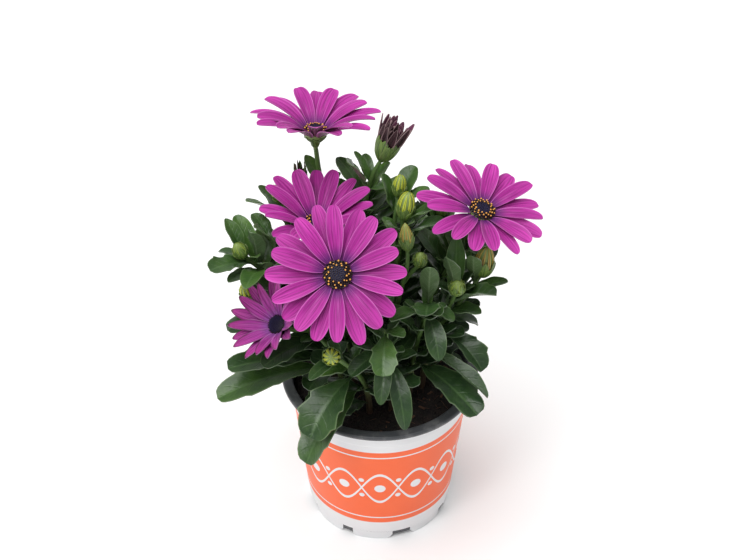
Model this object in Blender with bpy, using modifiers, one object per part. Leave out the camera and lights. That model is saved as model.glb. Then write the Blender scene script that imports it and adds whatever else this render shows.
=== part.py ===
"""A potted osteospermum (African daisy) in flower: a thin plastic pot, its potting mix, leafy shoots that
branch and carry buds, and open daisies with a ring of ray florets round a studded disc."""

import math
import random

import bmesh
import bpy
from mathutils import Matrix, Vector, noise
from mathutils.bvhtree import BVHTree

MM = 0.001
GAP = 0.3 * MM

# Pot: a thin tapered shell with a flanged rim, a stacking step and a notched foot
POT_HEIGHT = 105 * MM
RIM_RADIUS = 60 * MM
RIM_WIDTH = 6.4 * MM
LIP_DROP = 2.4 * MM
WALL_FOOT_RADIUS = 45.1 * MM
WALL_TAPER = 0.098
WALL = 1.2 * MM
STEP_HEIGHT = 92.5 * MM
STEP_OUT = 0.6 * MM
FOOT_RADIUS = 44.3 * MM
FOOT_INNER_RADIUS = 42.4 * MM
FLOOR_RISE = 4.0 * MM
PAD_RADIUS = 9.0 * MM
POT_SIDES = 32
NOTCHES = 8
FIRST_NOTCH = math.radians(-72)
NOTCH_SIZES = ((14.0 * MM, 3.6 * MM), (8.0 * MM, 3.2 * MM))
DRAIN_HOLES = 5
DRAIN_RADIUS = 3.0 * MM
DRAIN_CIRCLE = 24 * MM

# Potting mix
SOIL_TOP = 93 * MM
SOIL_SIDES = 24
SOIL_RINGS = (20 * MM, 38 * MM, 49 * MM)
SOIL_LUMP = 1.6 * MM

# Plant tissue
BLADE = 0.7 * MM
TEST_BLADE = 1.7 * MM
TEST_SLACK = 0.4 * MM
STEM_FOOT_RADIUS = 2.1 * MM
STEM_TIP_RADIUS = 1.15 * MM
STEM_BEVEL_STEPS = 1
PLAIN_ROWS = (0.0, 0.42, 0.74, 0.94, 1.0)
SIMPLE_ROWS = (0.0, 0.44, 0.84, 1.0)
TOOTHED_ROWS = (0.0, 0.4, 0.538, 0.58, 0.765, 0.807, 0.95, 1.0)
PETAL_ROWS = (0.0, 0.40, 0.78, 0.975)
STALK = 0.16
TEETH = (0.45, 0.72)
TOOTH_RUN = 0.16
TOOTH_FALL = 0.05
TOOTH_SIZE = 0.2
TOOTHED_FROM = 13.1
FOLDED_FROM = 11.5

# Shoots, in millimetres: a route through its points, or a branch that leaves a shoot at a share of its length
SHOOTS = {
    "front_bloom": [(-6, -12, 81), (-7, -14, 110), (-11, -22, 155), (-18, -36, 196), (-23.2, -44.4, 212.3)],
    "tall_bloom": [(-12, 8, 81), (-13, 11, 110), (-21, 24, 155), (-33, 37, 206), (-37.2, 39, 241.9)],
    "middle_bloom": [(-15, -3, 81), (-16, -4, 112), (-23, -6, 155), (-32, -1, 188), (-36, 3, 205.2)],
    "right_bloom": [(17, 4, 81), (19, 5, 112), (30, 6, 155), (46, 2, 195), (53.9, -3.8, 219.3)],
    "low_bloom": [(-20, -17, 81), (-22, -19, 108), (-27, -23, 136), (-38, -27, 157), (-52.5, -36.3, 167.9)],
    "top_bud": [(0, 12, 81), (-1, 13, 112), (-6, 16, 160), (-9, 20, 205), (-5, 20, 232), (1, 20, 246)],
    "bud_pair": [(6, -1, 81), (7, 0, 112), (9, 0, 160), (11, -3, 200), (13, -6, 224)],
    "right": [(25, -3, 81), (27, -4, 110), (33, -7, 140), (41, -13, 168), (43, -20, 182)],
    "right_low": [(17, -13, 81), (18, -15, 108), (20, -20, 135), (24, -25, 160), (27, -29, 180)],
    "front_right": [(7, -22, 81), (7, -25, 108), (7, -34, 135), (4, -44, 160), (3, -52, 180)],
    "front_low": [(-6, -25, 81), (-7, -28, 108), (-11, -38, 132), (-20, -50, 154), (-27, -59, 168)],
    "left": [(-26, -5, 81), (-28, -6, 108), (-40, -10, 145), (-60, -16, 186), (-76, -23, 210)],
    "back_left": [(-23, 12, 81), (-26, 15, 108), (-40, 24, 145), (-53, 30, 182), (-57, 30, 209)],
    "back": [(-4, 24, 81), (-5, 28, 108), (-9, 42, 145), (-12, 56, 190)],
    "back_right": [(13, 18, 81), (15, 22, 108), (24, 36, 145), (36, 46, 188)],
    "far_right": [(27, 9, 81), (30, 11, 108), (44, 20, 140), (60, 26, 172)],
}
BRANCHES = {
    "tall_bloom": [(0.5, [(-40, 40, 192), (-46, 40, 213)])],
    "bud_pair": [
        (0.70, [(8, 3, 210), (10, 4, 232)]),
        (0.45, [(13, -10, 180), (15, -20, 200), (15, -22, 214)]),
        (0.58, [(17, -14, 190), (22, -22, 203)]),
    ],
    "right": [(0.62, [(50, -10, 172), (58, -8, 185)])],
    "left": [
        (0.60, [(-58, -13, 198), (-60, -12, 212)]),
        (0.52, [(-66, -10, 162), (-75.6, -14, 173.5)]),
    ],
    "back": [(0.6, [(-22, 50, 180), (-27, 52, 196)])],
    "back_right": [(0.62, [(22, 52, 176), (20, 58, 190)])],
}

# Closed buds: shoot, branch (0 is the shoot itself), length and radius in millimetres, and the way they point
BUDS = [
    ("bud_pair", 0, 19, 5.2, (0.15, 0.0, 1.0)),
    ("bud_pair", 1, 15, 4.0, (0.1, 0.0, 1.0)),
    ("bud_pair", 2, 18, 3.6, (-0.1, 0.0, 1.0)),
    ("bud_pair", 3, 11, 3.5, (0.0, -0.3, 1.0)),
    ("right", 0, 12, 4.4, (0.05, -0.35, 0.9)),
    ("right", 1, 21, 5.8, (0.12, 0.0, 1.0)),
    ("front_low", 0, 14, 4.9, (0.02, -0.8, 0.6)),
    ("left", 0, 11, 4.0, (-0.3, -0.2, 0.9)),
    ("left", 2, 14, 4.2, (-0.14, -0.35, 0.93)),
    ("back_left", 0, 15, 3.7, (-0.37, -0.12, 0.9)),
    ("tall_bloom", 1, 17, 3.4, (-0.05, 0.0, 1.0)),
    ("back", 0, 14, 4.4, (0.0, 0.3, 1.0)),
    ("back", 1, 12, 3.8, (-0.3, 0.2, 1.0)),
    ("back_right", 0, 14, 4.2, (0.3, 0.2, 1.0)),
    ("far_right", 0, 13, 4.2, (0.5, 0.2, 0.9)),
]
BUD_SIDES = 8
BUD_RINGS = ((0.0, 0.42), (0.16, 0.92), (0.52, 1.0), (0.84, 0.56))
BUD_RIB = 0.09

# Blooms, in millimetres and degrees: centre, axis, reach, disc radius, petals, petal width, rise, recurve, seed
BLOOMS = {
    "front_bloom": ((-23, -50, 218), (0.03, -0.70, 0.71), 38.5, 8.2, 20, 9.6, 13, 16, 3),
    "tall_bloom": ((-37, 40, 250), (0.02, 0.12, 0.99), 40.0, 7.0, 18, 9.2, 44, 48, 5),
    "middle_bloom": ((-36, 2, 213), (0.0, -0.12, 0.99), 37.0, 7.0, 16, 9.4, 43, 26, 8),
    "right_bloom": ((56, -5, 227), (0.26, -0.15, 0.93), 37.5, 7.8, 18, 9.2, 19, 20, 11),
    "low_bloom": ((-57, -40, 174), (-0.52, -0.44, 0.73), 29.5, 5.6, 18, 6.8, 43, 6, 14),
}
CALYX_DEPTH = 8.0 * MM
PLATE_HALF = 0.9 * MM
LAYER_LIFT = 0.45 * MM
LAYER_ANGLE = math.radians(5.5)
PETAL_ROOT_HALF = 1.05 * MM
CALYX_SIDES = 10
DISC_SECTORS = 14
DISC_RINGS = ((0.0, 1.0), (1.6, 1.0), (3.1, 0.74), (3.3, 0.34))
DISC_TOP = 2.6 * MM
FLORET_RELIEF = 0.55 * MM

# The closing bud at the top: dark rays held together above their green cup
RAY_BUD = ("top_bud", (0.34, 0.0, 0.94), 20 * MM, 6.0 * MM, 10, 4.6 * MM)


def clear_scene():
    for obj in list(bpy.data.objects):
        bpy.data.objects.remove(obj, do_unlink=True)


def collection(name):
    made = bpy.data.collections.new(name)
    bpy.context.scene.collection.children.link(made)
    return made


def material(name, colour, roughness):
    made = bpy.data.materials.new(name)
    made.use_nodes = True
    shader = made.node_tree.nodes["Principled BSDF"]
    shader.inputs["Base Color"].default_value = (*colour, 1.0)
    shader.inputs["Roughness"].default_value = roughness
    shader.inputs["Metallic"].default_value = 0.0
    made.diffuse_color = (*colour, 1.0)
    return made


def smooth_route(points, steps=2):
    """Points along a Catmull-Rom curve through a route given in millimetres."""
    knots = [Vector(p) * MM for p in points]
    ends = [2 * knots[0] - knots[1], *knots, 2 * knots[-1] - knots[-2]]
    made = []
    for a, b, c, d in zip(ends, ends[1:], ends[2:], ends[3:]):
        for i in range(steps):
            t = i / steps
            made.append(
                0.5 * (2 * b + (c - a) * t + (2 * a - 5 * b + 4 * c - d) * t**2 + (3 * b - a - 3 * c + d) * t**3)
            )
    return made + [knots[-1]]


def place_on(route, share):
    """The point at a share of a route's length."""
    lengths = [(b - a).length for a, b in zip(route, route[1:])]
    left = share * sum(lengths)
    for a, b, length in zip(route, route[1:], lengths):
        if left <= length:
            return a.lerp(b, left / length)
        left -= length
    return route[-1].copy()


def routes_of(shoot):
    """The shoot's own route, then one for each of its branches."""
    main = smooth_route(SHOOTS[shoot])
    found = [main]
    for share, points in BRANCHES.get(shoot, []):
        start = place_on(main, share) / MM
        found.append(smooth_route([tuple(start), *points]))
    return found


class Leaf:
    """A blade whose rib is a quadratic curve from its root to its tip, and whose upper side is face."""

    def __init__(self, root, tip, width, face, bow=0.14, fold=0.25, wave=0.0, twist=0.0):
        chord = tip - root
        self.root, self.tip, self.width = root, tip, width
        self.face = (face - face.project(chord)).normalized()
        self.control = (root + tip) / 2 + self.face * bow * chord.length
        self.fold, self.wave, self.twist = fold, wave, twist
        self.toothed = width > TOOTHED_FROM * MM
        self.columns = 2 if width > FOLDED_FROM * MM or fold > 0.3 else 1
        self.rows = TOOTHED_ROWS if self.toothed else PLAIN_ROWS

    def half_width(self, t):
        """A narrow stalk that widens to a spoon-shaped blade, with teeth on its outer half."""
        stalk = min(0.95 * MM, 0.16 * self.width)
        if t <= STALK:
            return stalk * (0.7 + 0.3 * t / STALK)
        s = (t - STALK) / (1 - STALK)
        spoon = 2.102 * s**0.75 * max(1 - s, 0.0) ** 0.40
        if self.toothed:
            for at in TEETH:
                if at - TOOTH_RUN < s <= at:
                    spoon *= 1 + TOOTH_SIZE * (s - at + TOOTH_RUN) / TOOTH_RUN
                elif at < s < at + TOOTH_FALL:
                    spoon *= 1 + TOOTH_SIZE * (1 - (s - at) / TOOTH_FALL)
        return stalk * (1 - s) + self.width / 2 * spoon

    def point(self, u, t):
        """The middle of the blade at u across, from -1 to 1, and t along, and the blade's normal there."""
        rib = (1 - t) ** 2 * self.root + 2 * t * (1 - t) * self.control + t**2 * self.tip
        along = ((1 - t) * (self.control - self.root) + t * (self.tip - self.control)).normalized()
        side = along.cross(self.face).normalized()
        side = Matrix.Rotation(self.twist * t, 3, along) @ side
        normal = side.cross(along)
        half = self.half_width(t)
        lift = self.fold * abs(u) * half + self.wave * math.sin(9 * t + 2 * u) * abs(u) * half
        return rib + side * u * half * (1 - 0.3 * self.fold) + normal * lift, normal


class Petal:
    """A ray floret in a bloom's frame: it leaves the plate's edge at an angle, rises and curves back."""

    columns = 1

    def __init__(self, frame, turn, root_radius, height, length, width, rise, recurve, roll, cup):
        self.frame, self.root_radius, self.height, self.length, self.width = (
            frame, root_radius, height, length, width,
        )
        self.outward = Vector((math.cos(turn), math.sin(turn), 0))
        self.rise, self.recurve, self.roll, self.cup = rise, recurve, roll, cup
        self.rows = PETAL_ROWS

    def half_width(self, t):
        blade = 1.943 * t**0.75 * max(1 - t, 0.0) ** 0.33
        return PETAL_ROOT_HALF * (1 - t) + self.width / 2 * blade * (1 - 0.1 * (1 - t))

    def point(self, u, t):
        axis = Vector((0, 0, 1))
        angle = self.rise - self.recurve * t
        run = (math.sin(self.rise) - math.sin(angle)) / self.recurve
        climb = (math.cos(angle) - math.cos(self.rise)) / self.recurve
        rib = self.outward * (self.root_radius + self.length * run) + axis * (self.height + self.length * climb)
        along = self.outward * math.cos(angle) + axis * math.sin(angle)
        side = Matrix.Rotation(self.roll * t, 3, along) @ along.cross(axis).normalized()
        normal = side.cross(along)
        half = self.half_width(t)
        local = rib + side * u * half + normal * self.cup * u * u * half
        return self.frame @ local, (self.frame.to_3x3() @ normal).normalized()


def blade_mesh(blade, rows, thickness, spread=0.0, start=0.0):
    """A closed blade: a flat grid laid on the blade's surface and given its thickness."""
    rows = [t for t in rows if t >= start]
    wide = blade.columns
    bm = bmesh.new()
    bmesh.ops.create_grid(bm, x_segments=wide, y_segments=len(rows) - 1, size=1.0)
    ordered = sorted(bm.verts, key=lambda v: (round(v.co.y, 4), v.co.x))
    for index, vert in enumerate(ordered):
        t, u = rows[index // (wide + 1)], 2 * (index % (wide + 1)) / wide - 1
        middle = blade.point(0, t)[0]
        place, normal = blade.point(u, t)
        away = place - middle
        if spread and away.length > 1e-6:
            place += away.normalized() * spread
        vert.co = place + normal * thickness / 2
    bmesh.ops.remove_doubles(bm, verts=bm.verts, dist=1e-6)
    bmesh.ops.triangulate(bm, faces=bm.faces)
    bmesh.ops.solidify(bm, geom=bm.faces[:], thickness=thickness)
    bmesh.ops.recalc_face_normals(bm, faces=bm.faces)
    return bm


def rings_mesh(rings, top, bottom):
    """A closed body lofted through rings of points, with a point at each end."""
    bm = bmesh.new()
    loops = [[bm.verts.new(p) for p in ring] for ring in rings]
    for lower, upper in zip(loops, loops[1:]):
        for i in range(len(lower)):
            j = (i + 1) % len(lower)
            bm.faces.new((lower[i], lower[j], upper[j], upper[i]))
    for loop, apex in ((loops[0], bottom), (loops[-1], top)):
        centre = bm.verts.new(apex)
        for i in range(len(loop)):
            bm.faces.new((loop[i], loop[(i + 1) % len(loop)], centre))
    bmesh.ops.triangulate(bm, faces=bm.faces)
    bmesh.ops.recalc_face_normals(bm, faces=bm.faces)
    return bm


def facing(axis, at, spin=0.0):
    """A frame at a place, with its z along axis."""
    z = Vector(axis).normalized()
    turn = z.to_track_quat("Z", "Y").to_matrix().to_4x4()
    return Matrix.Translation(at) @ turn @ Matrix.Rotation(spin, 4, "Z")


def bud_mesh(frame, length, radius, slack=0.0):
    """A ribbed egg of closed bracts on its stalk."""
    rings = []
    for height, wide in BUD_RINGS:
        ring = []
        for i in range(BUD_SIDES):
            rib = 1 + BUD_RIB * (-1) ** i
            angle = 2 * math.pi * i / BUD_SIDES
            reach = radius * wide * rib + slack
            ring.append(frame @ Vector((reach * math.cos(angle), reach * math.sin(angle), height * length)))
        rings.append(ring)
    return rings_mesh(rings, frame @ Vector((0, 0, length + slack)), frame @ Vector((0, 0, -0.08 * length)))


def cup_mesh(frame, profile):
    """A cup lofted through rings of points, each ring a height, a tooth's reach and a dip's reach."""
    rings = []
    for height, tooth, dip in profile:
        ring = []
        for i in range(CALYX_SIDES):
            reach = tooth if i % 2 == 0 else dip
            angle = 2 * math.pi * i / CALYX_SIDES
            ring.append(frame @ Vector((reach * math.cos(angle), reach * math.sin(angle), height)))
        rings.append(ring)
    return rings_mesh(rings, frame @ Vector((0, 0, profile[-1][0])), frame @ Vector((0, 0, profile[0][0])))


def calyx_mesh(frame, disc_radius):
    """The green cup under a bloom, with pointed bracts round its edge."""
    top = -PLATE_HALF - GAP
    return cup_mesh(
        frame,
        (
            (-CALYX_DEPTH - 1.5 * MM, 1.3 * MM, 1.3 * MM),
            (-6.2 * MM, 2.3 * MM, 2.3 * MM),
            (-3.4 * MM, disc_radius * 0.72, disc_radius * 0.66),
            (top - 0.7 * MM, disc_radius + 1.4 * MM, disc_radius - 0.9 * MM),
            (top, disc_radius - 0.4 * MM, disc_radius - 1.2 * MM),
        ),
    )


def closing_calyx_mesh(frame, radius):
    """The egg-shaped green cup of the closing bud."""
    top = -PLATE_HALF - GAP
    return cup_mesh(
        frame,
        (
            (-CALYX_DEPTH - 2 * MM, 1.3 * MM, 1.3 * MM),
            (-7.4 * MM, radius * 0.66, radius * 0.60),
            (-4.2 * MM, radius * 0.98, radius * 0.92),
            (top - 0.5 * MM, radius * 1.06, radius * 0.90),
            (top, radius * 0.94, radius * 0.82),
        ),
    )


def disc_mesh(frame, disc_radius):
    """The dome of disc florets: its surface is studded, a floret to every second point."""
    base = PLATE_HALF + GAP
    rings = []
    for row, (height, wide) in enumerate(DISC_RINGS):
        ring = []
        for i in range(DISC_SECTORS):
            stud = FLORET_RELIEF * ((i + row) % 2) if row else 0.0
            angle = 2 * math.pi * i / DISC_SECTORS
            reach = (disc_radius - (2.0 * MM if row == 0 else 0)) * wide + stud * 0.6
            local = Vector((reach * math.cos(angle), reach * math.sin(angle), base + height * MM + stud))
            ring.append(frame @ local)
        rings.append(ring)
    return rings_mesh(rings, frame @ Vector((0, 0, base + DISC_TOP)), frame @ Vector((0, 0, base)))


def petals_of(bloom):
    """The ray florets of a bloom, in two layers that pass over each other without touching."""
    centre, axis, reach, disc_radius, count, width, rise, recurve, seed = BLOOMS[bloom]
    chance = random.Random(seed)
    frame = facing(axis, Vector(centre) * MM)
    root = (disc_radius - 0.9) * MM
    made = []
    for i in range(count):
        upper = i % 2
        length = (reach - root / MM) * MM * (1.04 - 0.05 * upper) * chance.uniform(0.92, 1.04)
        made.append(
            Petal(
                frame,
                2 * math.pi * (i + chance.uniform(-0.16, 0.16)) / count,
                root,
                LAYER_LIFT * (2 * upper - 1),
                length,
                width * MM * chance.uniform(0.86, 1.06),
                math.radians(rise + chance.uniform(-1.2, 1.2)) + LAYER_ANGLE * (upper - 0.5),
                math.radians(recurve + chance.uniform(-2, 5)),
                math.radians(chance.uniform(-7, 7)),
                0.16,
            )
        )
    return frame, made


def ray_bud_petals():
    shoot, axis, length, radius, count, width = RAY_BUD
    frame = facing(axis, Vector(SHOOTS[shoot][-1]) * MM + Vector(axis).normalized() * CALYX_DEPTH)
    made = []
    for i in range(count):
        chance = random.Random(40 + i)
        made.append(
            Petal(
                frame, 2 * math.pi * i / count, radius * 0.75, 0.0, length * chance.uniform(0.86, 1.05), width,
                math.radians(chance.uniform(68, 80)), math.radians(chance.uniform(-9, 4)), 0.0, 0.35,
            )
        )
    return frame, made


def mesh_object(name, bm, into, shade=True):
    mesh = bpy.data.meshes.new(name)
    bm.to_mesh(mesh)
    bm.free()
    obj = bpy.data.objects.new(name, mesh)
    into.objects.link(obj)
    if shade:
        mesh.shade_smooth()
        mesh.set_sharp_from_angle(angle=math.radians(40))
    return obj


def stem_bm(route, foot_radius, tip_radius):
    """A tapered tube along a route, as a closed mesh."""
    curve = bpy.data.curves.new("stem", "CURVE")
    curve.dimensions = "3D"
    curve.bevel_depth = 1.0
    curve.bevel_resolution = STEM_BEVEL_STEPS
    curve.use_fill_caps = True
    spline = curve.splines.new("POLY")
    spline.points.add(len(route) - 1)
    for i, place in enumerate(route):
        spline.points[i].co = (*place, 1.0)
        spline.points[i].radius = foot_radius + (tip_radius - foot_radius) * i / (len(route) - 1)
    obj = bpy.data.objects.new("stem", curve)
    bpy.context.scene.collection.objects.link(obj)
    graph = bpy.context.evaluated_depsgraph_get()
    mesh = bpy.data.meshes.new_from_object(obj.evaluated_get(graph))
    bpy.data.objects.remove(obj)
    bpy.data.curves.remove(curve)
    bm = bmesh.new()
    bm.from_mesh(mesh)
    bpy.data.meshes.remove(mesh)
    bmesh.ops.remove_doubles(bm, verts=bm.verts, dist=1e-6)
    bmesh.ops.recalc_face_normals(bm, faces=bm.faces)
    return bm


# Leaves placed by eye, in millimetres: shoot, root (moved to the nearest stem), tip, width, then what is special
LEAVES = [
    ("left", (-75, -22, 199), (-91, -40, 219), 13.2, {}),
    ("left", (-66, -18, 196), (-73, -50, 208), 12.1, {"bow": 0.2}),
    ("left", (-76, -23, 209), (-86, -12, 228), 8.8, {}),
    ("left", (-67, -20, 199), (-71, -26, 229), 11, {"fold": 0.4}),
    ("left", (-66, -18, 196), (-82, 2, 213), 11, {}),
    ("left", (-59, -12, 205), (-68, -24, 230), 11, {}),
    ("left", (-60, -12, 209), (-72, 2, 221), 9.9, {}),
    ("left", (-70, -20, 202), (-92, -4, 199), 7.7, {}),
    ("back_left", (-54, 30, 192), (-77, 14, 221), 9.9, {}),
    ("back_left", (-56, 30, 202), (-65, 25, 224), 8.8, {}),
    ("left", (-66, -18, 196), (-84, -38, 203), 8.8, {}),
    ("low_bloom", (-26, -22, 126), (-95, -52, 128), 20.9, {"bow": 0.16}),
    ("low_bloom", (-27, -23, 134), (-88, -48, 148), 17.6, {"bow": 0.1}),
    ("low_bloom", (-34, -27, 150), (-66, -58, 158), 14.3, {"bow": 0.2}),
    ("left", (-44, -11, 152), (-88, -34, 165), 13.2, {"bow": 0.18}),
    ("front_low", (-14, -42, 139), (-40, -75, 119), 23.1, {"bow": 0.3}),
    ("front_low", (-9, -34, 122), (-43, -77, 100), 20.9, {"bow": 0.34}),
    ("front_low", (-24, -56, 162), (-39, -76, 165), 7.7, {}),
    ("front_right", (4, -44, 160), (-17, -63, 156), 12.1, {"bow": 0.2}),
    ("front_low", (-16, -45, 147), (-36, -56, 150), 12.1, {"bow": 0.2}),
    ("front_right", (3, -51, 178), (1, -79, 170), 13.9, {"bow": 0.24}),
    ("front_right", (4, -43, 158), (0, -69, 139), 9.9, {"bow": 0.26}),
    ("front_right", (5, -40, 150), (14, -74, 124), 12.1, {"bow": 0.28}),
    ("front_right", (3, -52, 180), (13, -62, 184), 8.8, {}),
    ("right_low", (19, -18, 128), (56, -62, 124), 20.9, {"bow": 0.18}),
    ("right_low", (21, -22, 142), (60, -52, 121), 11, {"bow": 0.16, "fold": 0.7}),
    ("right", (34, -8, 146), (60, -32, 131), 16.5, {"bow": 0.24, "fold": 0.5}),
    ("right_low", (26, -28, 174), (33, -52, 157), 12.1, {"bow": 0.3}),
    ("right", (36, -10, 154), (58, -6, 146), 12.1, {"bow": 0.2}),
    ("right", (41, -13, 168), (66, -26, 184), 13.2, {"fold": 0.6}),
    ("right_low", (26, -28, 176), (33, -44, 184), 9.9, {}),
    ("right_low", (27, -29, 179), (42, -33, 171), 8.8, {}),
    ("right_low", (27, -29, 180), (25, -49, 188), 13.9, {"bow": 0.2}),
    ("right_low", (26, -27, 172), (5, -58, 192), 11, {}),
    ("right", (49, -11, 172), (68, -16, 192), 8.8, {}),
    ("right", (54, -9, 178), (53, -18, 212), 8.8, {"bow": 0.08}),
    ("right", (42, -18, 176), (43, -8, 214), 11, {"bow": 0.06}),
    ("right", (43, -19, 180), (36, -32, 216), 9.9, {"bow": 0.08}),
    ("right_low", (27, -29, 180), (27, -38, 214), 11, {"bow": 0.06}),
    ("bud_pair", (12, -4, 206), (36, -18, 230), 11, {}),
    ("bud_pair", (12, -4, 210), (34, 4, 226), 12.1, {}),
    ("bud_pair", (13, -6, 220), (31, -10, 238), 7.7, {}),
    ("right", (41, -13, 168), (52, 6, 204), 9.9, {"bow": 0.1}),
    ("right", (55, -8, 180), (66, 8, 196), 8.8, {}),
    ("top_bud", (-6, 20, 222), (-19, 15, 247), 13.2, {"bow": 0.1}),
    ("top_bud", (-5, 20, 228), (-15, 26, 247), 5.5, {}),
    ("top_bud", (-7, 20, 218), (6, 27, 239), 8.8, {}),
    ("bud_pair", (9, 3, 222), (20, 16, 244), 12.1, {}),
    ("bud_pair", (9, 3, 218), (1, 10, 243), 9.9, {"bow": 0.06}),
    ("bud_pair", (9, 3, 222), (25, 2, 240), 8.8, {}),
]

# Leaves that follow a rule, a golden angle apart: share of the stem they start and end at, count, length, width
LEAFY = {
    "front_bloom": (0.14, 0.72, 6, 40, 15),
    "tall_bloom": (0.14, 0.76, 7, 42, 15),
    "middle_bloom": (0.14, 0.80, 7, 40, 15),
    "right_bloom": (0.14, 0.82, 7, 40, 15),
    "low_bloom": (0.14, 0.66, 4, 38, 15),
    "top_bud": (0.16, 0.86, 8, 42, 15),
    "bud_pair": (0.16, 0.92, 8, 36, 14),
    "right": (0.16, 0.96, 6, 34, 14),
    "right_low": (0.16, 0.94, 5, 34, 14),
    "front_right": (0.14, 0.80, 4, 34, 14),
    "front_low": (0.14, 0.60, 3, 34, 14),
    "left": (0.14, 0.90, 6, 34, 14),
    "back_left": (0.12, 0.92, 8, 42, 15),
    "back": (0.12, 0.97, 9, 42, 15),
    "back_right": (0.12, 0.97, 9, 42, 15),
    "far_right": (0.12, 0.97, 8, 40, 15),
}
GOLDEN_ANGLE = math.radians(137.5)
TURNS = (0, 12, -12, 24, -24, 38, -38, 54, -54)
TILTS = (0, 10, -10, 20, -20)
SHORTER = (1.0, 0.8, 0.64)
NUDGES = (0, 5, -5, 10, -10, 16, -16, 24, -24)


def nearest_on(routes, place):
    best = None
    for route in routes:
        for a, b in zip(route, route[1:]):
            step = b - a
            share = max(0.0, min(1.0, (place - a).dot(step) / step.length_squared))
            at = a + share * step
            if best is None or (place - at).length < best[0]:
                best = ((place - at).length, at)
    return best[1]


def face_of(chord):
    """A leaf looks up, and towards its own stem as it stands more upright."""
    outward = Vector((chord.x, chord.y, 0))
    outward = outward.normalized() if outward.length > 1e-6 else Vector((1, 0, 0))
    return Vector((0, 0, 1)) - 0.8 * outward


def swung(root, tip, turn, tilt, scale):
    """A tip turned round the upright through its root, tilted up, and drawn in."""
    chord = tip - root
    side = chord.cross(Vector((0, 0, 1)))
    side = side.normalized() if side.length > 1e-9 else Vector((0, 1, 0))
    chord = Matrix.Rotation(math.radians(tilt), 3, side) @ chord
    chord = Matrix.Rotation(math.radians(turn), 3, "Z") @ chord
    return root + chord * scale


class Bed:
    """What already stands, and whether a new blade keeps clear of it."""

    def __init__(self):
        self.standing = []

    def add(self, owner, bm, outer=None):
        whole = BVHTree.FromBMesh(bm)
        self.standing.append((owner, whole, BVHTree.FromBMesh(outer) if outer else whole))

    def takes(self, owner, blade):
        thick = blade_mesh(blade, blade.rows, TEST_BLADE, TEST_SLACK)
        outer = blade_mesh(blade, blade.rows, TEST_BLADE, TEST_SLACK, 0.3)
        whole_tree, outer_tree = BVHTree.FromBMesh(thick), BVHTree.FromBMesh(outer)
        thick.free()
        outer.free()
        for other, whole, edge in self.standing:
            if outer_tree.overlap(edge) if other == owner else whole_tree.overlap(whole):
                return False
        return True


def add_blade(bed, owner, blade):
    bm = blade_mesh(blade, blade.rows, BLADE)
    outer = blade_mesh(blade, blade.rows, BLADE, 0.0, 0.3)
    bed.add(owner, bm, outer)
    outer.free()
    return bm


def placed_leaves(bed, shoots):
    """The leaves of the table, each turned a little until it is clear."""
    for index, (shoot, root, tip, width, special) in enumerate(LEAVES):
        chance = random.Random(700 + index)
        root = nearest_on(shoots[shoot], Vector(root) * MM)
        tip = Vector(tip) * MM
        wave, twist = chance.uniform(-0.12, 0.12), chance.uniform(-0.25, 0.25)
        tries = [(t, n, s) for s in (1.0, 0.85) for t in NUDGES for n in NUDGES]
        for tilt, turn, scale in sorted(tries, key=lambda k: abs(k[0]) + abs(k[1]) + 60 * (1 - k[2])):
            new_tip = swung(root, tip, turn, tilt, scale)
            face = special.get("face", face_of(new_tip - root))
            blade = Leaf(
                root, new_tip, width * MM, face, special.get("bow", 0.14), special.get("fold", 0.25), wave, twist
            )
            if bed.takes(shoot, blade):
                yield shoot, blade, add_blade(bed, shoot, blade)
                break


def ruled_leaves(bed, shoots):
    """Leaves a golden angle apart round their stem, shorter towards its tip, where there is room."""
    for number, (shoot, (start, end, count, length, width)) in enumerate(LEAFY.items()):
        chance = random.Random(300 + number)
        main = shoots[shoot][0]
        for i in range(count):
            share = start + (end - start) * (i + 0.5) / count
            root = place_on(main, share)
            turn = GOLDEN_ANGLE * i + number
            young = max(0.0, share - 0.55) / 0.45
            size = (1 - 0.42 * young) * chance.uniform(0.88, 1.1)
            lift = math.radians(14 + 42 * share + chance.uniform(-8, 8))
            reach = Vector((math.cos(turn) * math.cos(lift), math.sin(turn) * math.cos(lift), math.sin(lift)))
            tip = root + reach * length * size * MM
            wave, twist, bow = chance.uniform(-0.12, 0.12), chance.uniform(-0.3, 0.3), chance.uniform(0.1, 0.24)
            done = False
            for scale in SHORTER:
                for tilt in TILTS:
                    for swing in TURNS:
                        if done:
                            continue
                        new_tip = swung(root, tip, swing, tilt, scale)
                        wide = width * size * (0.5 + 0.5 * scale) * MM
                        blade = Leaf(root, new_tip, wide, face_of(new_tip - root), bow, 0.2, wave, twist)
                        blade.columns, blade.rows = 1, SIMPLE_ROWS
                        if bed.takes(shoot, blade):
                            done = True
                            yield shoot, blade, add_blade(bed, shoot, blade)


def wall(height):
    """The pot's outer radius at a height."""
    radius = WALL_FOOT_RADIUS + WALL_TAPER * height
    return radius + (STEP_OUT if height >= STEP_HEIGHT else 0.0)


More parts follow.
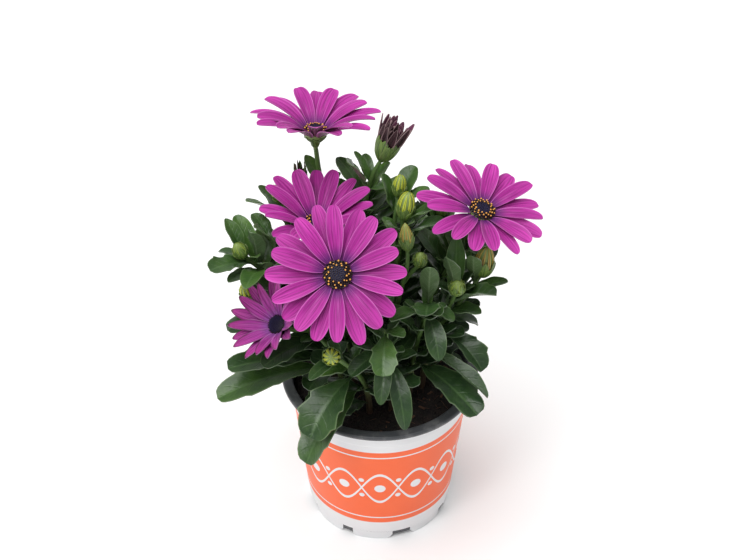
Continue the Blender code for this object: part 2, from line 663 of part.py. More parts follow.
def pot_profile():
    """The pot's section from the middle of its floor, up the inside, over the rim and down to the foot pad."""
    floor = FLOOR_RISE + WALL
    under = POT_HEIGHT - 1.4 * MM
    inside = [
        (0.0, floor),
        (FOOT_RADIUS - WALL - 0.1 * MM, floor),
        (wall(9 * MM) - WALL, 9 * MM),
        (wall(STEP_HEIGHT) - WALL, STEP_HEIGHT),
        (RIM_RADIUS - RIM_WIDTH, POT_HEIGHT - 0.8 * MM),
        (RIM_RADIUS - RIM_WIDTH + 1 * MM, POT_HEIGHT),
    ]
    rim = [
        (RIM_RADIUS - 0.8 * MM, POT_HEIGHT),
        (RIM_RADIUS, POT_HEIGHT - 0.9 * MM),
        (RIM_RADIUS, POT_HEIGHT - LIP_DROP),
        (RIM_RADIUS - 1.2 * MM, POT_HEIGHT - LIP_DROP),
        (RIM_RADIUS - 1.3 * MM, under),
        (wall(100 * MM) + 0.3 * MM, under - 0.2 * MM),
    ]
    outside = [
        (wall(STEP_HEIGHT), STEP_HEIGHT),
        (wall(STEP_HEIGHT - 1 * MM), STEP_HEIGHT - 1 * MM),
        (wall(8 * MM), 8 * MM),
        (FOOT_RADIUS + 0.3 * MM, 6.8 * MM),
        (FOOT_RADIUS, 0.0),
        (FOOT_INNER_RADIUS, 0.0),
        (FOOT_INNER_RADIUS - 0.2 * MM, FLOOR_RISE),
        (PAD_RADIUS + 2 * MM, FLOOR_RISE),
        (PAD_RADIUS, 0.0),
        (0.0, 0.0),
    ]
    return inside + rim + outside


def apply_modifiers(obj):
    graph = bpy.context.evaluated_depsgraph_get()
    mesh = bpy.data.meshes.new_from_object(obj.evaluated_get(graph))
    old = obj.data
    obj.modifiers.clear()
    obj.data = mesh
    mesh.name = obj.name
    bpy.data.meshes.remove(old)


def turned(name, profile, sides, into):
    """A profile in the XZ plane turned round Z."""
    mesh = bpy.data.meshes.new(name)
    mesh.from_pydata([(x, 0, z) for x, z in profile], [(i, i + 1) for i in range(len(profile) - 1)], [])
    obj = bpy.data.objects.new(name, mesh)
    into.objects.link(obj)
    screw = obj.modifiers.new("turn", "SCREW")
    screw.steps = screw.render_steps = sides
    screw.use_merge_vertices = True
    screw.merge_threshold = 1e-5
    screw.use_normal_calculate = True
    apply_modifiers(obj)
    return obj


def boolean(obj, tools, operation):
    """Join a collection to an object, or cut it away, and drop the collection's objects."""
    joined = obj.modifiers.new("boolean", "BOOLEAN")
    joined.operation = operation
    joined.operand_type = "COLLECTION"
    joined.collection = tools
    joined.solver = "EXACT"
    apply_modifiers(obj)
    for tool in list(tools.objects):
        bpy.data.objects.remove(tool, do_unlink=True)


def build_pot(into, tools):
    pot = turned("pot", pot_profile(), POT_SIDES, into)
    for i in range(NOTCHES):
        width, height = NOTCH_SIZES[i % 2]
        bm = bmesh.new()
        bmesh.ops.create_cube(bm, size=1.0)
        place = Matrix.Rotation(FIRST_NOTCH + 2 * math.pi * i / NOTCHES, 4, "Z")
        place @= Matrix.Translation((0, -FOOT_RADIUS + 1 * MM, 0)) @ Matrix.Diagonal((width, 8 * MM, 2 * height, 1))
        bmesh.ops.transform(bm, matrix=place, verts=bm.verts)
        mesh_object("notch", bm, tools, False)
    for i in range(DRAIN_HOLES):
        bm = bmesh.new()
        bmesh.ops.create_cone(
            bm, cap_ends=True, segments=12, radius1=DRAIN_RADIUS, radius2=DRAIN_RADIUS, depth=20 * MM
        )
        turn = 2 * math.pi * i / DRAIN_HOLES
        place = Vector((DRAIN_CIRCLE * math.cos(turn), DRAIN_CIRCLE * math.sin(turn), 0))
        bmesh.ops.translate(bm, vec=place, verts=bm.verts)
        mesh_object("drain", bm, tools, False)
    boolean(pot, tools, "DIFFERENCE")
    return pot


def soil_mesh():
    """The potting mix: it fills the pot to a lumpy top."""
    slack = GAP + 0.15 * MM
    edge = [
        (FOOT_RADIUS - WALL - 0.2 * MM - slack, FLOOR_RISE + WALL + GAP),
        (wall(9 * MM) - WALL - slack, 9 * MM + GAP),
        (wall(90 * MM) - WALL - slack, SOIL_TOP - 3 * MM),
    ]
    rings = []
    for radius, height in edge:
        ring = []
        for i in range(SOIL_SIDES):
            angle = 2 * math.pi * i / SOIL_SIDES
            ring.append(Vector((radius * math.cos(angle), radius * math.sin(angle), height)))
        rings.append(ring)
    for radius in reversed(SOIL_RINGS):
        ring = []
        for i in range(SOIL_SIDES):
            angle = 2 * math.pi * (i + 0.5 * (len(rings) % 2)) / SOIL_SIDES
            place = Vector((radius * math.cos(angle), radius * math.sin(angle), SOIL_TOP))
            place.z += SOIL_LUMP * noise.noise(place / (11 * MM))
            ring.append(place)
        rings.append(ring)
    return rings_mesh(rings, Vector((0, 0, SOIL_TOP)), Vector((0, 0, FLOOR_RISE + WALL + GAP)))


def build_soil(into, tools, shoots):
    soil = mesh_object("potting_mix", soil_mesh(), into)
    for routes in shoots.values():
        foot = [p.copy() for p in routes[0][:3]]
        foot[0] += (foot[0] - foot[1]).normalized() * 0.4 * MM
        foot[-1] += (foot[-1] - foot[-2]).normalized() * 4 * MM
        radius = STEM_FOOT_RADIUS + 0.4 * MM
        mesh_object("root_hole", stem_bm(foot, radius, radius), tools, False)
    boolean(soil, tools, "DIFFERENCE")
    return soil


def plate_mesh(frame, radius, sides):
    """The plate that carries the rays, with two rays to a side."""
    bm = bmesh.new()
    bmesh.ops.create_cone(
        bm, cap_ends=True, segments=sides, radius1=radius, radius2=radius, depth=2 * PLATE_HALF
    )
    turn = Matrix.Rotation(-math.pi / (2 * sides), 4, "Z")
    bmesh.ops.transform(bm, matrix=frame @ turn, verts=bm.verts)
    return bm


def ray_bud_core(frame, length, radius):
    """The packed middle of the closing bud, which its rays are fused to."""
    rings = []
    for height, wide in ((-PLATE_HALF, 0.72), (0.4 * length, 1.1), (0.82 * length, 0.85)):
        ring = []
        for i in range(BUD_SIDES):
            angle = 2 * math.pi * (i + 0.5) / BUD_SIDES
            ring.append(frame @ Vector((radius * wide * math.cos(angle), radius * wide * math.sin(angle), height)))
        rings.append(ring)
    return rings_mesh(rings, frame @ Vector((0, 0, 0.94 * length)), frame @ Vector((0, 0, -PLATE_HALF)))


def build_plant(into, tools, colours):
    shoots = {name: routes_of(name) for name in SHOOTS}
    bed = Bed()
    pot = build_pot(into, tools)
    soil = build_soil(into, tools, shoots)
    pot.data.materials.append(colours["pot"])
    soil.data.materials.append(colours["potting mix"])
    for owner, obj in (("pot", pot), ("potting_mix", soil)):
        bm = bmesh.new()
        bm.from_mesh(obj.data)
        bed.add(owner, bm)
        bm.free()

    pieces = {name: [] for name in SHOOTS}
    for name, routes in shoots.items():
        for number, route in enumerate(routes):
            bare = name in BLOOMS and number == 0
            tip = STEM_TIP_RADIUS * (1.2 if bare else 0.95)
            foot = STEM_FOOT_RADIUS if number == 0 else STEM_TIP_RADIUS * 1.15
            pieces[name].append(stem_bm(route, foot, tip))
    for shoot, branch, length, radius, axis in BUDS:
        route = shoots[shoot][branch]
        pieces[shoot].append(bud_mesh(facing(axis, route[-1]), length * MM, radius * MM))

    rays = {}
    for name in BLOOMS:
        frame, petals = petals_of(name)
        disc_radius = BLOOMS[name][3] * MM
        pieces[name].append(calyx_mesh(frame, disc_radius))
        rays[name] = [plate_mesh(frame, disc_radius - 0.1 * MM, BLOOMS[name][4] // 2)]
        rays[name] += [blade_mesh(petal, petal.rows, BLADE) for petal in petals]
        disc = mesh_object("disc_" + name, disc_mesh(frame, disc_radius), into)
        disc.data.materials.append(colours["disc"])
    shoot, axis, length, radius, count, width = RAY_BUD
    frame, petals = ray_bud_petals()
    pieces[shoot].append(closing_calyx_mesh(frame, radius))
    rays[shoot] = [ray_bud_core(frame, length, radius)]
    rays[shoot] += [blade_mesh(petal, petal.rows, BLADE) for petal in petals]

    for name, parts in pieces.items():
        for bm in parts:
            bed.add(name, bm)
    for name, parts in rays.items():
        for bm in parts:
            bed.add("rays_" + name, bm)
    for leaves in (placed_leaves, ruled_leaves):
        for shoot, _, bm in leaves(bed, shoots):
            pieces[shoot].append(bm)

    for name, parts in pieces.items():
        stem = mesh_object("shoot_" + name, parts[0], into)
        for bm in parts[1:]:
            mesh_object("leaf", bm, tools, False)
        boolean(stem, tools, "UNION")
        stem.data.materials.clear()
        stem.data.materials.append(colours["leaf"])
    for name, parts in rays.items():
        plate = mesh_object("rays_" + name, parts[0], into)
        for bm in parts[1:]:
            mesh_object("ray", bm, tools, False)
        boolean(plate, tools, "UNION")
        plate.data.materials.clear()
        plate.data.materials.append(colours["closing rays" if name == RAY_BUD[0] else "rays"])


clear_scene()
plant = collection("potted_osteospermum")
cutters = collection("cutters")
cutters.hide_render = True
build_plant(
    plant,
    cutters,
    {
        "pot": material("white_and_orange_plastic", (0.93, 0.93, 0.91), 0.45),
        "potting mix": material("potting_mix", (0.03, 0.022, 0.018), 0.95),
        "leaf": material("leaf_green", (0.10, 0.22, 0.11), 0.55),
        "rays": material("ray_magenta", (0.42, 0.05, 0.36), 0.5),
        "closing rays": material("ray_brown_purple", (0.16, 0.05, 0.10), 0.6),
        "disc": material("disc_navy", (0.03, 0.03, 0.12), 0.6),
    },
)
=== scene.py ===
"""The looks of a potted osteospermum (African daisy) in flower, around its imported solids: the pot, the
potting mix, leafy shoots with their buds, the ray florets and the discs. Everything is in metres."""

import itertools
import math
import random

import bmesh
import bpy
from mathutils import Matrix, Vector, noise
from mathutils.bvhtree import BVHTree


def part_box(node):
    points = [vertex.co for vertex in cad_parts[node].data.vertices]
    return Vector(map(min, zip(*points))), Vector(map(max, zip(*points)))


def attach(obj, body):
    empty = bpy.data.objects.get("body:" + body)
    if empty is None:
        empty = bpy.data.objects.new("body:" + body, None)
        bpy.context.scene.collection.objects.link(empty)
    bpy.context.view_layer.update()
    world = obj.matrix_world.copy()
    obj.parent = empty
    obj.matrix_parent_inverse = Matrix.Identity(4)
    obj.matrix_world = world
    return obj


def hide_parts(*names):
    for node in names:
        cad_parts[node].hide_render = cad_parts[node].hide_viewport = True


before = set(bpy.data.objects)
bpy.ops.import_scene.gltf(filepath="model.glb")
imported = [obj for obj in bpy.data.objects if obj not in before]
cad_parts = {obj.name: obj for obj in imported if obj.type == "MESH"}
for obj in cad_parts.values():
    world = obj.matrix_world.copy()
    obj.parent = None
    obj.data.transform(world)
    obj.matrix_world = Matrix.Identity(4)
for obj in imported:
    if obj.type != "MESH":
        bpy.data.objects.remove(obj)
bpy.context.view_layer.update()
MM = 0.001


# Pot. The real one is a single thin moulding of polypropylene, white outside and dark grey inside and on its
# flanged rim, with an orange band printed round the wall. It stands on a notched foot, over a raised floor
# with drain holes. The print is two plain waves that cross, with dots, between two lines.
POT_SIDES = 240
pot_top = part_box("pot")[1]
POT_HEIGHT, RIM_RADIUS = pot_top.z, pot_top.x
RIM_WIDTH = 6.4 * MM
RIM_THICK = 1.4 * MM
LIP_DROP = 2.4 * MM
LIP_THICK = 1.2 * MM
WALL_FOOT_RADIUS = 45.1 * MM
WALL_TAPER = 0.098
WALL = 1.2 * MM
WALL_START, INNER_WALL_START = 8 * MM, 9 * MM
FOOT_TOP = 6.8 * MM
STEP_HEIGHT = 92.5 * MM
STEP_OUT = 0.6 * MM
FOOT_RADIUS = 44.3 * MM
FOOT_INNER_RADIUS = 42.4 * MM
FLOOR_RISE = 4.0 * MM
PAD_RADIUS = 9.0 * MM
EDGE_ROUND = 0.3 * MM
NOTCHES = 8
FIRST_NOTCH = math.radians(-72)
NOTCH_SIZES = ((14.0 * MM, 3.6 * MM), (8.0 * MM, 3.2 * MM))
NOTCH_SLOPE = 3.2 * MM
DRAIN_HOLES = 5
DRAIN_RADIUS = 3.0 * MM
DRAIN_CIRCLE = 24 * MM
DRAIN_CUT = 20 * MM
BAND_LOW, BAND_HIGH = 18 * MM, 86 * MM
BAND_SOFT = 0.15 * MM
WAVES = 7
WAVE_HEIGHT = 13 * MM
WAVE_LINE = (1.25 * MM, 1.0 * MM)
EDGE_LINE = 5 * MM
EDGE_LINE_HALF = (0.6 * MM, 0.42 * MM)
DOTS = ((0.0, 0.0, 3.4 * MM), (0.5, 0.55, 1.7 * MM), (0.5, -0.55, 1.7 * MM))
DOT_SOFT = 0.12 * MM
WHOLE_TURNS = 40


class Paint:
    """Adds shader nodes to a tree and links them, each by one short call."""

    def __init__(self, tree):
        self.tree = tree

    def add(self, kind, inputs=(), **settings):
        made = self.tree.nodes.new("ShaderNode" + kind)
        for name, value in settings.items():
            setattr(made, name, value)
        for name, value in dict(inputs).items():
            self.feed(made.inputs[name], value)
        return made

    def feed(self, socket, value):
        if isinstance(value, bpy.types.NodeSocket):
            self.tree.links.new(value, socket)
        elif socket.type == "RGBA" and len(value) == 3:
            socket.default_value = (*value, 1.0)
        else:
            socket.default_value = value

    def math(self, operation, a, b=0.0):
        return self.add("Math", {0: a, 1: b}, operation=operation).outputs[0]

    def times(self, a, b):
        return self.math("MULTIPLY", a, b)

    def plus(self, a, b):
        return self.math("ADD", a, b)

    def minus(self, a, b):
        return self.math("SUBTRACT", a, b)

    def absolute(self, a):
        return self.math("ABSOLUTE", a)

    def mix(self, share, a, b):
        """The colour between a and b."""
        return self.add("Mix", {0: share, 6: a, 7: b}, data_type="RGBA").outputs[2]

    def rise(self, value, low, high):
        """0 below low, 1 above high, and smooth between. It falls where low is above high."""
        inputs = {"Value": value, "From Min": low, "From Max": high}
        return self.add("MapRange", inputs, interpolation_type="SMOOTHSTEP").outputs["Result"]

    def spread(self, value, low, high):
        """A value from 0 to 1 laid out between low and high."""
        return self.add("MapRange", {"Value": value, "To Min": low, "To Max": high}).outputs[0]

    def split(self, colour):
        return self.add("SeparateColor", {"Color": colour}).outputs

    def group(self, tree, inputs):
        """A placed copy of a node group, with its own values."""
        made = self.tree.nodes.new("ShaderNodeGroup")
        made.node_tree = tree
        for name, value in inputs.items():
            self.feed(made.inputs[name], value)
        return made.outputs

    def colour(self, shader, colour):
        self.feed(shader["Base Color"], colour)

    def bump(self, shader, height, strength, distance):
        """Raises the surface where a height is high, by up to a distance."""
        made = self.add("Bump", {"Height": height, "Strength": strength, "Distance": distance})
        self.feed(shader["Normal"], made.outputs[0])


def node_group(name, inputs, outputs):
    """An empty node group with float or vector inputs and float outputs."""
    tree = bpy.data.node_groups.new(name, "ShaderNodeTree")
    for socket, kind in inputs:
        tree.interface.new_socket(name=socket, in_out="INPUT", socket_type="NodeSocket" + kind)
    for socket in outputs:
        tree.interface.new_socket(name=socket, in_out="OUTPUT", socket_type="NodeSocketFloat")
    return Paint(tree), tree.nodes.new("NodeGroupInput").outputs, tree.nodes.new("NodeGroupOutput").inputs


def material(name, roughness):
    """A new material, its tree's helper and its shader."""
    made = bpy.data.materials.new(name)
    made.use_nodes = True
    shader = made.node_tree.nodes["Principled BSDF"]
    shader.inputs["Roughness"].default_value = roughness
    return made, Paint(made.node_tree), shader.inputs


def object_place(paint):
    return paint.add("TexCoord").outputs["Object"]


def mottle_group():
    """Uneven tone over a surface: soft patches of a size in metres, with finer ones inside them."""
    paint, given, made = node_group("mottle", [("Place", "Vector"), ("Size", "Float")], ["Tone"])
    scale = paint.math("DIVIDE", 1.0, given["Size"])
    tone = paint.add("TexNoise", {"Vector": given["Place"], "Scale": scale, "Detail": 4.0, "Roughness": 0.6})
    paint.feed(made["Tone"], tone.outputs["Fac"])
    return paint.tree


MOTTLE = mottle_group()


def mottled(paint, place, size):
    return paint.group(MOTTLE, {"Place": place, "Size": size})["Tone"]


def band_print(paint, turn, up):
    """The white marks of the print: two waves that cross, dots between them, and a line along each edge."""
    middle = (BAND_LOW + BAND_HIGH) / 2
    around = 2 * math.pi * (WALL_FOOT_RADIUS + WALL_TAPER * middle)
    off = paint.minus(up, middle)
    marks = []
    for phase in (0.0, math.pi):
        swing = paint.math("SINE", paint.plus(paint.times(turn, 2 * math.pi * WAVES), phase))
        gap = paint.minus(off, paint.times(swing, WAVE_HEIGHT))
        marks.append(paint.rise(paint.absolute(gap), *WAVE_LINE))
    for shift, lift, radius in DOTS:
        cell = paint.math("FRACT", paint.plus(paint.times(turn, 2 * WAVES), WHOLE_TURNS + shift))
        across = paint.times(paint.minus(cell, 0.5), around / (2 * WAVES))
        away = paint.add("CombineXYZ", {0: across, 1: paint.minus(off, lift * WAVE_HEIGHT)}).outputs[0]
        away = paint.add("VectorMath", {0: away}, operation="LENGTH").outputs["Value"]
        marks.append(paint.rise(away, radius + DOT_SOFT, radius - DOT_SOFT))
    for height in (BAND_LOW + EDGE_LINE, BAND_HIGH - EDGE_LINE):
        marks.append(paint.rise(paint.absolute(paint.minus(up, height)), *EDGE_LINE_HALF))
    printed = marks[0]
    for mark in marks[1:]:
        printed = paint.math("MAXIMUM", printed, mark)
    return printed


def white_plastic():
    """The outer skin: white, with the orange band and its print."""
    made, paint, shader = material("white_plastic_with_orange_band", 0.45)
    place = object_place(paint)
    axes = paint.add("SeparateXYZ", {0: place}).outputs
    up = axes["Z"]
    turn = paint.math("DIVIDE", paint.math("ARCTAN2", axes["Y"], axes["X"]), 2 * math.pi)
    printed = band_print(paint, turn, up)
    tone = mottled(paint, place, 20 * MM)
    orange = paint.mix(tone, (0.90, 0.115, 0.018), (0.96, 0.14, 0.026))
    white = paint.mix(tone, (0.74, 0.75, 0.77), (0.82, 0.82, 0.83))
    band = paint.times(
        paint.rise(up, BAND_LOW - BAND_SOFT, BAND_LOW + BAND_SOFT),
        paint.rise(up, BAND_HIGH + BAND_SOFT, BAND_HIGH - BAND_SOFT),
    )
    inked = paint.times(band, paint.minus(1.0, printed))
    paint.colour(shader, paint.mix(inked, white, orange))
    fine = mottled(paint, place, 0.8 * MM)
    paint.bump(shader, fine, 0.05, 0.1 * MM)
    return made


def charcoal_plastic():
    """The inner skin and the flange: dark grey, a little scuffed and dusty."""
    made, paint, shader = material("charcoal_plastic", 0.42)
    place = object_place(paint)
    dust = mottled(paint, place, 9 * MM)
    scuffed = paint.rise(dust, 0.45, 0.75)
    paint.colour(shader, paint.mix(scuffed, (0.062, 0.065, 0.072), (0.14, 0.14, 0.145)))
    paint.feed(shader["Roughness"], paint.spread(dust, 0.3, 0.6))
    paint.bump(shader, dust, 0.2, 0.2 * MM)
    return made


def wall_radius(height):
    """The pot's outer radius at a height."""
    return WALL_FOOT_RADIUS + WALL_TAPER * height + (STEP_OUT if height >= STEP_HEIGHT else 0.0)


def turned(profile, sides, rounding):
    """A profile in the XZ plane turned once round Z, its corners rounded first."""
    bm = bmesh.new()
    chain = [bm.verts.new((x, 0, z)) for x, z in profile]
    edges = [bm.edges.new(pair) for pair in zip(chain, chain[1:])]
    bmesh.ops.bevel(
        bm, geom=chain[1:-1] + edges, offset=rounding, offset_type="OFFSET", affect="VERTICES",
        segments=3, profile=0.5, material=-1, clamp_overlap=True,
    )
    bmesh.ops.spin(
        bm, geom=bm.verts[:] + bm.edges[:], cent=(0, 0, 0), axis=(0, 0, 1), dvec=(0, 0, 0),
        angle=2 * math.pi, steps=sides, use_merge=True,
    )
    bmesh.ops.remove_doubles(bm, verts=bm.verts, dist=1e-6)
    bmesh.ops.recalc_face_normals(bm, faces=bm.faces)
    return bm


def pot_profile():
    """The pot's section from the middle of its floor, up the inside, over the rim and down to its pad."""
    floor = FLOOR_RISE + WALL
    under = POT_HEIGHT - RIM_THICK
    inside = [
        (0.0, floor),
        (FOOT_RADIUS - WALL - 0.1 * MM, floor),
        (wall_radius(INNER_WALL_START) - WALL, INNER_WALL_START),
        (wall_radius(STEP_HEIGHT) - WALL, STEP_HEIGHT),
        (RIM_RADIUS - RIM_WIDTH, POT_HEIGHT - 0.8 * MM),
        (RIM_RADIUS - RIM_WIDTH + 1 * MM, POT_HEIGHT),
    ]
    rim = [
        (RIM_RADIUS - 0.8 * MM, POT_HEIGHT),
        (RIM_RADIUS, POT_HEIGHT - 0.9 * MM),
        (RIM_RADIUS, POT_HEIGHT - LIP_DROP),
        (RIM_RADIUS - LIP_THICK, POT_HEIGHT - LIP_DROP),
        (RIM_RADIUS - 1.3 * MM, under),
        (wall_radius(100 * MM) + 0.3 * MM, under - 0.2 * MM),
    ]
    outside = [
        (wall_radius(STEP_HEIGHT), STEP_HEIGHT),
        (wall_radius(STEP_HEIGHT - 1 * MM), STEP_HEIGHT - 1 * MM),
        (wall_radius(WALL_START), WALL_START),
        (FOOT_RADIUS + 0.3 * MM, FOOT_TOP),
        (FOOT_RADIUS, 0.0),
        (FOOT_INNER_RADIUS, 0.0),
        (FOOT_INNER_RADIUS - 0.2 * MM, FLOOR_RISE),
        (PAD_RADIUS + 2 * MM, FLOOR_RISE),
        (PAD_RADIUS, 0.0),
        (0.0, 0.0),
    ]
    return inside + rim + outside


def smooth_step(value):
    value = max(0.0, min(1.0, value))
    return value * value * (3 - 2 * value)


def mesh_object(name, bm, materials, sharp=40):
    """A finished object at the origin, shaded smooth but for its sharp edges."""
    mesh = bpy.data.meshes.new(name)
    bm.to_mesh(mesh)
    bm.free()
    for each in materials:
        mesh.materials.append(each)
    mesh.shade_smooth()
    mesh.set_sharp_from_angle(angle=math.radians(sharp))
    made = bpy.data.objects.new(name, mesh)
    bpy.context.scene.collection.objects.link(made)
    return made


def cut(obj, cutters):
    """Cuts the cutters out of an object, applies the cut and drops them."""
    for cutter in cutters:
        step = obj.modifiers.new("cut", "BOOLEAN")
        step.operation, step.solver, step.object = "DIFFERENCE", "EXACT", cutter
    graph = bpy.context.evaluated_depsgraph_get()
    mesh = bpy.data.meshes.new_from_object(obj.evaluated_get(graph))
    obj.modifiers.clear()
    obj.data = mesh
    for cutter in cutters:
        bpy.data.objects.remove(cutter, do_unlink=True)


def notched(place):
    """A point of the foot ring lifted where it lies in a notch."""
    turn = math.atan2(place.x, -place.y)
    for i in range(NOTCHES):
        width, height = NOTCH_SIZES[i % 2]
        off = (turn - FIRST_NOTCH - 2 * math.pi * i / NOTCHES + math.pi) % (2 * math.pi) - math.pi
        lift = height * smooth_step((width / 2 + NOTCH_SLOPE / 2 - abs(off) * FOOT_RADIUS) / NOTCH_SLOPE)
        place.z = max(place.z, lift)


bm = turned(pot_profile(), POT_SIDES, EDGE_ROUND)
for vert in bm.verts:
    away = math.hypot(vert.co.x, vert.co.y)
    if vert.co.z < FLOOR_RISE - 0.1 * MM and away > FOOT_INNER_RADIUS - 1 * MM:
        notched(vert.co)
for face in bm.faces:
    at = face.calc_center_median()
    away = math.hypot(at.x, at.y)
    inner = at.z > FLOOR_RISE + WALL / 2 and away < wall_radius(at.z) - WALL / 2
    face.material_index = 1 if inner or at.z > POT_HEIGHT - LIP_DROP - 0.2 * MM else 0
pot = mesh_object("pot_shell", bm, [white_plastic(), charcoal_plastic()], 35)
drains = []
for i in range(DRAIN_HOLES):
    bm = bmesh.new()
    bmesh.ops.create_cone(
        bm, cap_ends=True, segments=32, radius1=DRAIN_RADIUS, radius2=DRAIN_RADIUS, depth=DRAIN_CUT
    )
    turn = 2 * math.pi * i / DRAIN_HOLES
    at = (DRAIN_CIRCLE * math.cos(turn), DRAIN_CIRCLE * math.sin(turn), 0)
    bmesh.ops.translate(bm, vec=at, verts=bm.verts)
    drains.append(mesh_object("drain", bm, []))
cut(pot, drains)
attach(pot, "root")
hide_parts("pot")


# Potting mix. The real one is damp dark peat, a loose fill that holds the roots, with crumbs, bits of bark
# and pale fibres on its top. The stems stand in it.
SOIL_TOP = 93 * MM
SOIL_SIDES = 120
SOIL_RINGS = 34
SOIL_GAP = 0.45 * MM
SOIL_LUMP = 1.6 * MM
CRUMB_LIFT = 1.1 * MM
LUMP_SIZE, CRUMB_SIZE, GRIT_SIZE = 11 * MM, 3.1 * MM, 1.5 * MM
CRUMBS = 420
BARK_BITS = 60
FIBRES = 70


def soil_material():
    made, paint, shader = material("damp_peat", 0.9)
    place = object_place(paint)
    patch = mottled(paint, place, 7 * MM)
    crumb = mottled(paint, place, 1.1 * MM)
    dark = paint.mix(paint.rise(patch, 0.35, 0.7), (0.006, 0.004, 0.004), (0.022, 0.013, 0.011))
    paint.colour(shader, paint.mix(paint.rise(crumb, 0.55, 0.8), dark, (0.055, 0.03, 0.022)))
    paint.bump(shader, crumb, 0.9, 0.8 * MM)
    return made


def bark_material():
    made, paint, shader = material("bark_and_fibre", 0.85)
    tone = mottled(paint, object_place(paint), 2 * MM)
    paint.colour(shader, paint.mix(tone, (0.05, 0.022, 0.014), (0.16, 0.08, 0.045)))
    paint.bump(shader, tone, 0.5, 0.3 * MM)
    return made


def soil_height(x, y):
    """The lumpy top of the fill."""
    at = Vector((x, y, SOIL_TOP))
    lift = SOIL_LUMP * noise.noise(at / LUMP_SIZE) + CRUMB_LIFT * noise.noise(at / CRUMB_SIZE)
    return SOIL_TOP + lift + 0.5 * CRUMB_LIFT * noise.noise(at / GRIT_SIZE)


class Heap:
    """One mesh that small meshes are added to."""

    def __init__(self):
        self.bm = bmesh.new()
        self.bm.loops.layers.uv.new("blade")
        self.bm.loops.layers.float_color.new("growth")
        self.carrier = bpy.data.meshes.new("carrier")

    def add(self, bm, material_index=None):
        if material_index is not None:
            for face in bm.faces:
                face.material_index = material_index
        bm.to_mesh(self.carrier)
        bm.free()
        self.bm.from_mesh(self.carrier)


def build_soil():
    """The fill with its lumpy top, and the reach of that top."""
    edge = wall_radius(90 * MM) - WALL - SOIL_GAP
    foot = FOOT_RADIUS - WALL - 0.2 * MM - SOIL_GAP
    low = FLOOR_RISE + WALL + 0.3 * MM
    bend = wall_radius(INNER_WALL_START) - WALL - SOIL_GAP
    profile = [(0.0, low), (foot, low), (bend, 9.3 * MM), (edge, SOIL_TOP - 2 * MM)]
    profile += [(edge * (1 - i / SOIL_RINGS), SOIL_TOP) for i in range(1, SOIL_RINGS + 1)]
    bm = turned(profile, SOIL_SIDES, 0.0)
    for vert in bm.verts:
        if vert.co.z > SOIL_TOP - 1 * MM:
            vert.co.z = soil_height(vert.co.x, vert.co.y)
    return bm, edge


def scattered(count, seed, edge):
    """Places on the fill's top, with a size from 0 to 1 and the chance for each."""
    chance = random.Random(seed)
    for _ in range(count):
        away, turn = edge * math.sqrt(chance.random()), 2 * math.pi * chance.random()
        x, y = 0.97 * away * math.cos(turn), 0.97 * away * math.sin(turn)
        yield Vector((x, y, soil_height(x, y))), chance.random() ** 2, chance


soil_heap = Heap()
bm, soil_edge = build_soil()
soil_heap.add(bm, 0)
for at, size, chance in scattered(CRUMBS, 51, soil_edge - 1 * MM):
    bm = bmesh.new()
    bmesh.ops.create_icosphere(bm, subdivisions=1, radius=(0.5 + 1.2 * size) * MM)
    for vert in bm.verts:
        vert.co *= chance.uniform(0.7, 1.15)
    bmesh.ops.translate(bm, vec=at, verts=bm.verts)
    soil_heap.add(bm, 0)
for at, size, chance in scattered(BARK_BITS, 52, soil_edge - 3 * MM):
    bm = bmesh.new()
    bmesh.ops.create_cube(bm, size=1.0)
    turn = Matrix.Rotation(chance.uniform(0, math.pi), 4, "Z")
    turn = turn @ Matrix.Rotation(chance.uniform(-0.5, 0.5), 4, "X")
    scale = Matrix.Diagonal(((1.5 + 3.5 * size) * MM, (0.7 + 1.2 * size) * MM, 0.6 * MM, 1.0))
    place = Matrix.Translation(at + Vector((0, 0, 0.3 * MM))) @ turn @ scale
    bmesh.ops.transform(bm, matrix=place, verts=bm.verts)
    bmesh.ops.bevel(
        bm, geom=bm.edges[:], offset=0.15 * MM, affect="EDGES", segments=1, profile=0.5, material=-1
    )
    soil_heap.add(bm, 1)
for at, size, chance in scattered(FIBRES, 53, soil_edge - 6 * MM):
    bm = bmesh.new()
    bmesh.ops.create_cone(
        bm, cap_ends=True, segments=5, radius1=0.18 * MM, radius2=0.12 * MM, depth=(4 + 7 * size) * MM
    )
    turn = Matrix.Rotation(chance.uniform(0, 2 * math.pi), 4, "Z")
    turn = turn @ Matrix.Rotation(chance.uniform(1.3, 1.6), 4, "X")
    place = Matrix.Translation(at + Vector((0, 0, 0.5 * MM))) @ turn
    bmesh.ops.transform(bm, matrix=place, verts=bm.verts)
    soil_heap.add(bm, 1)
soil = mesh_object("potting_mix_fill", soil_heap.bm, [soil_material(), bark_material()])
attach(soil, "root")
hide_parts("potting_mix")


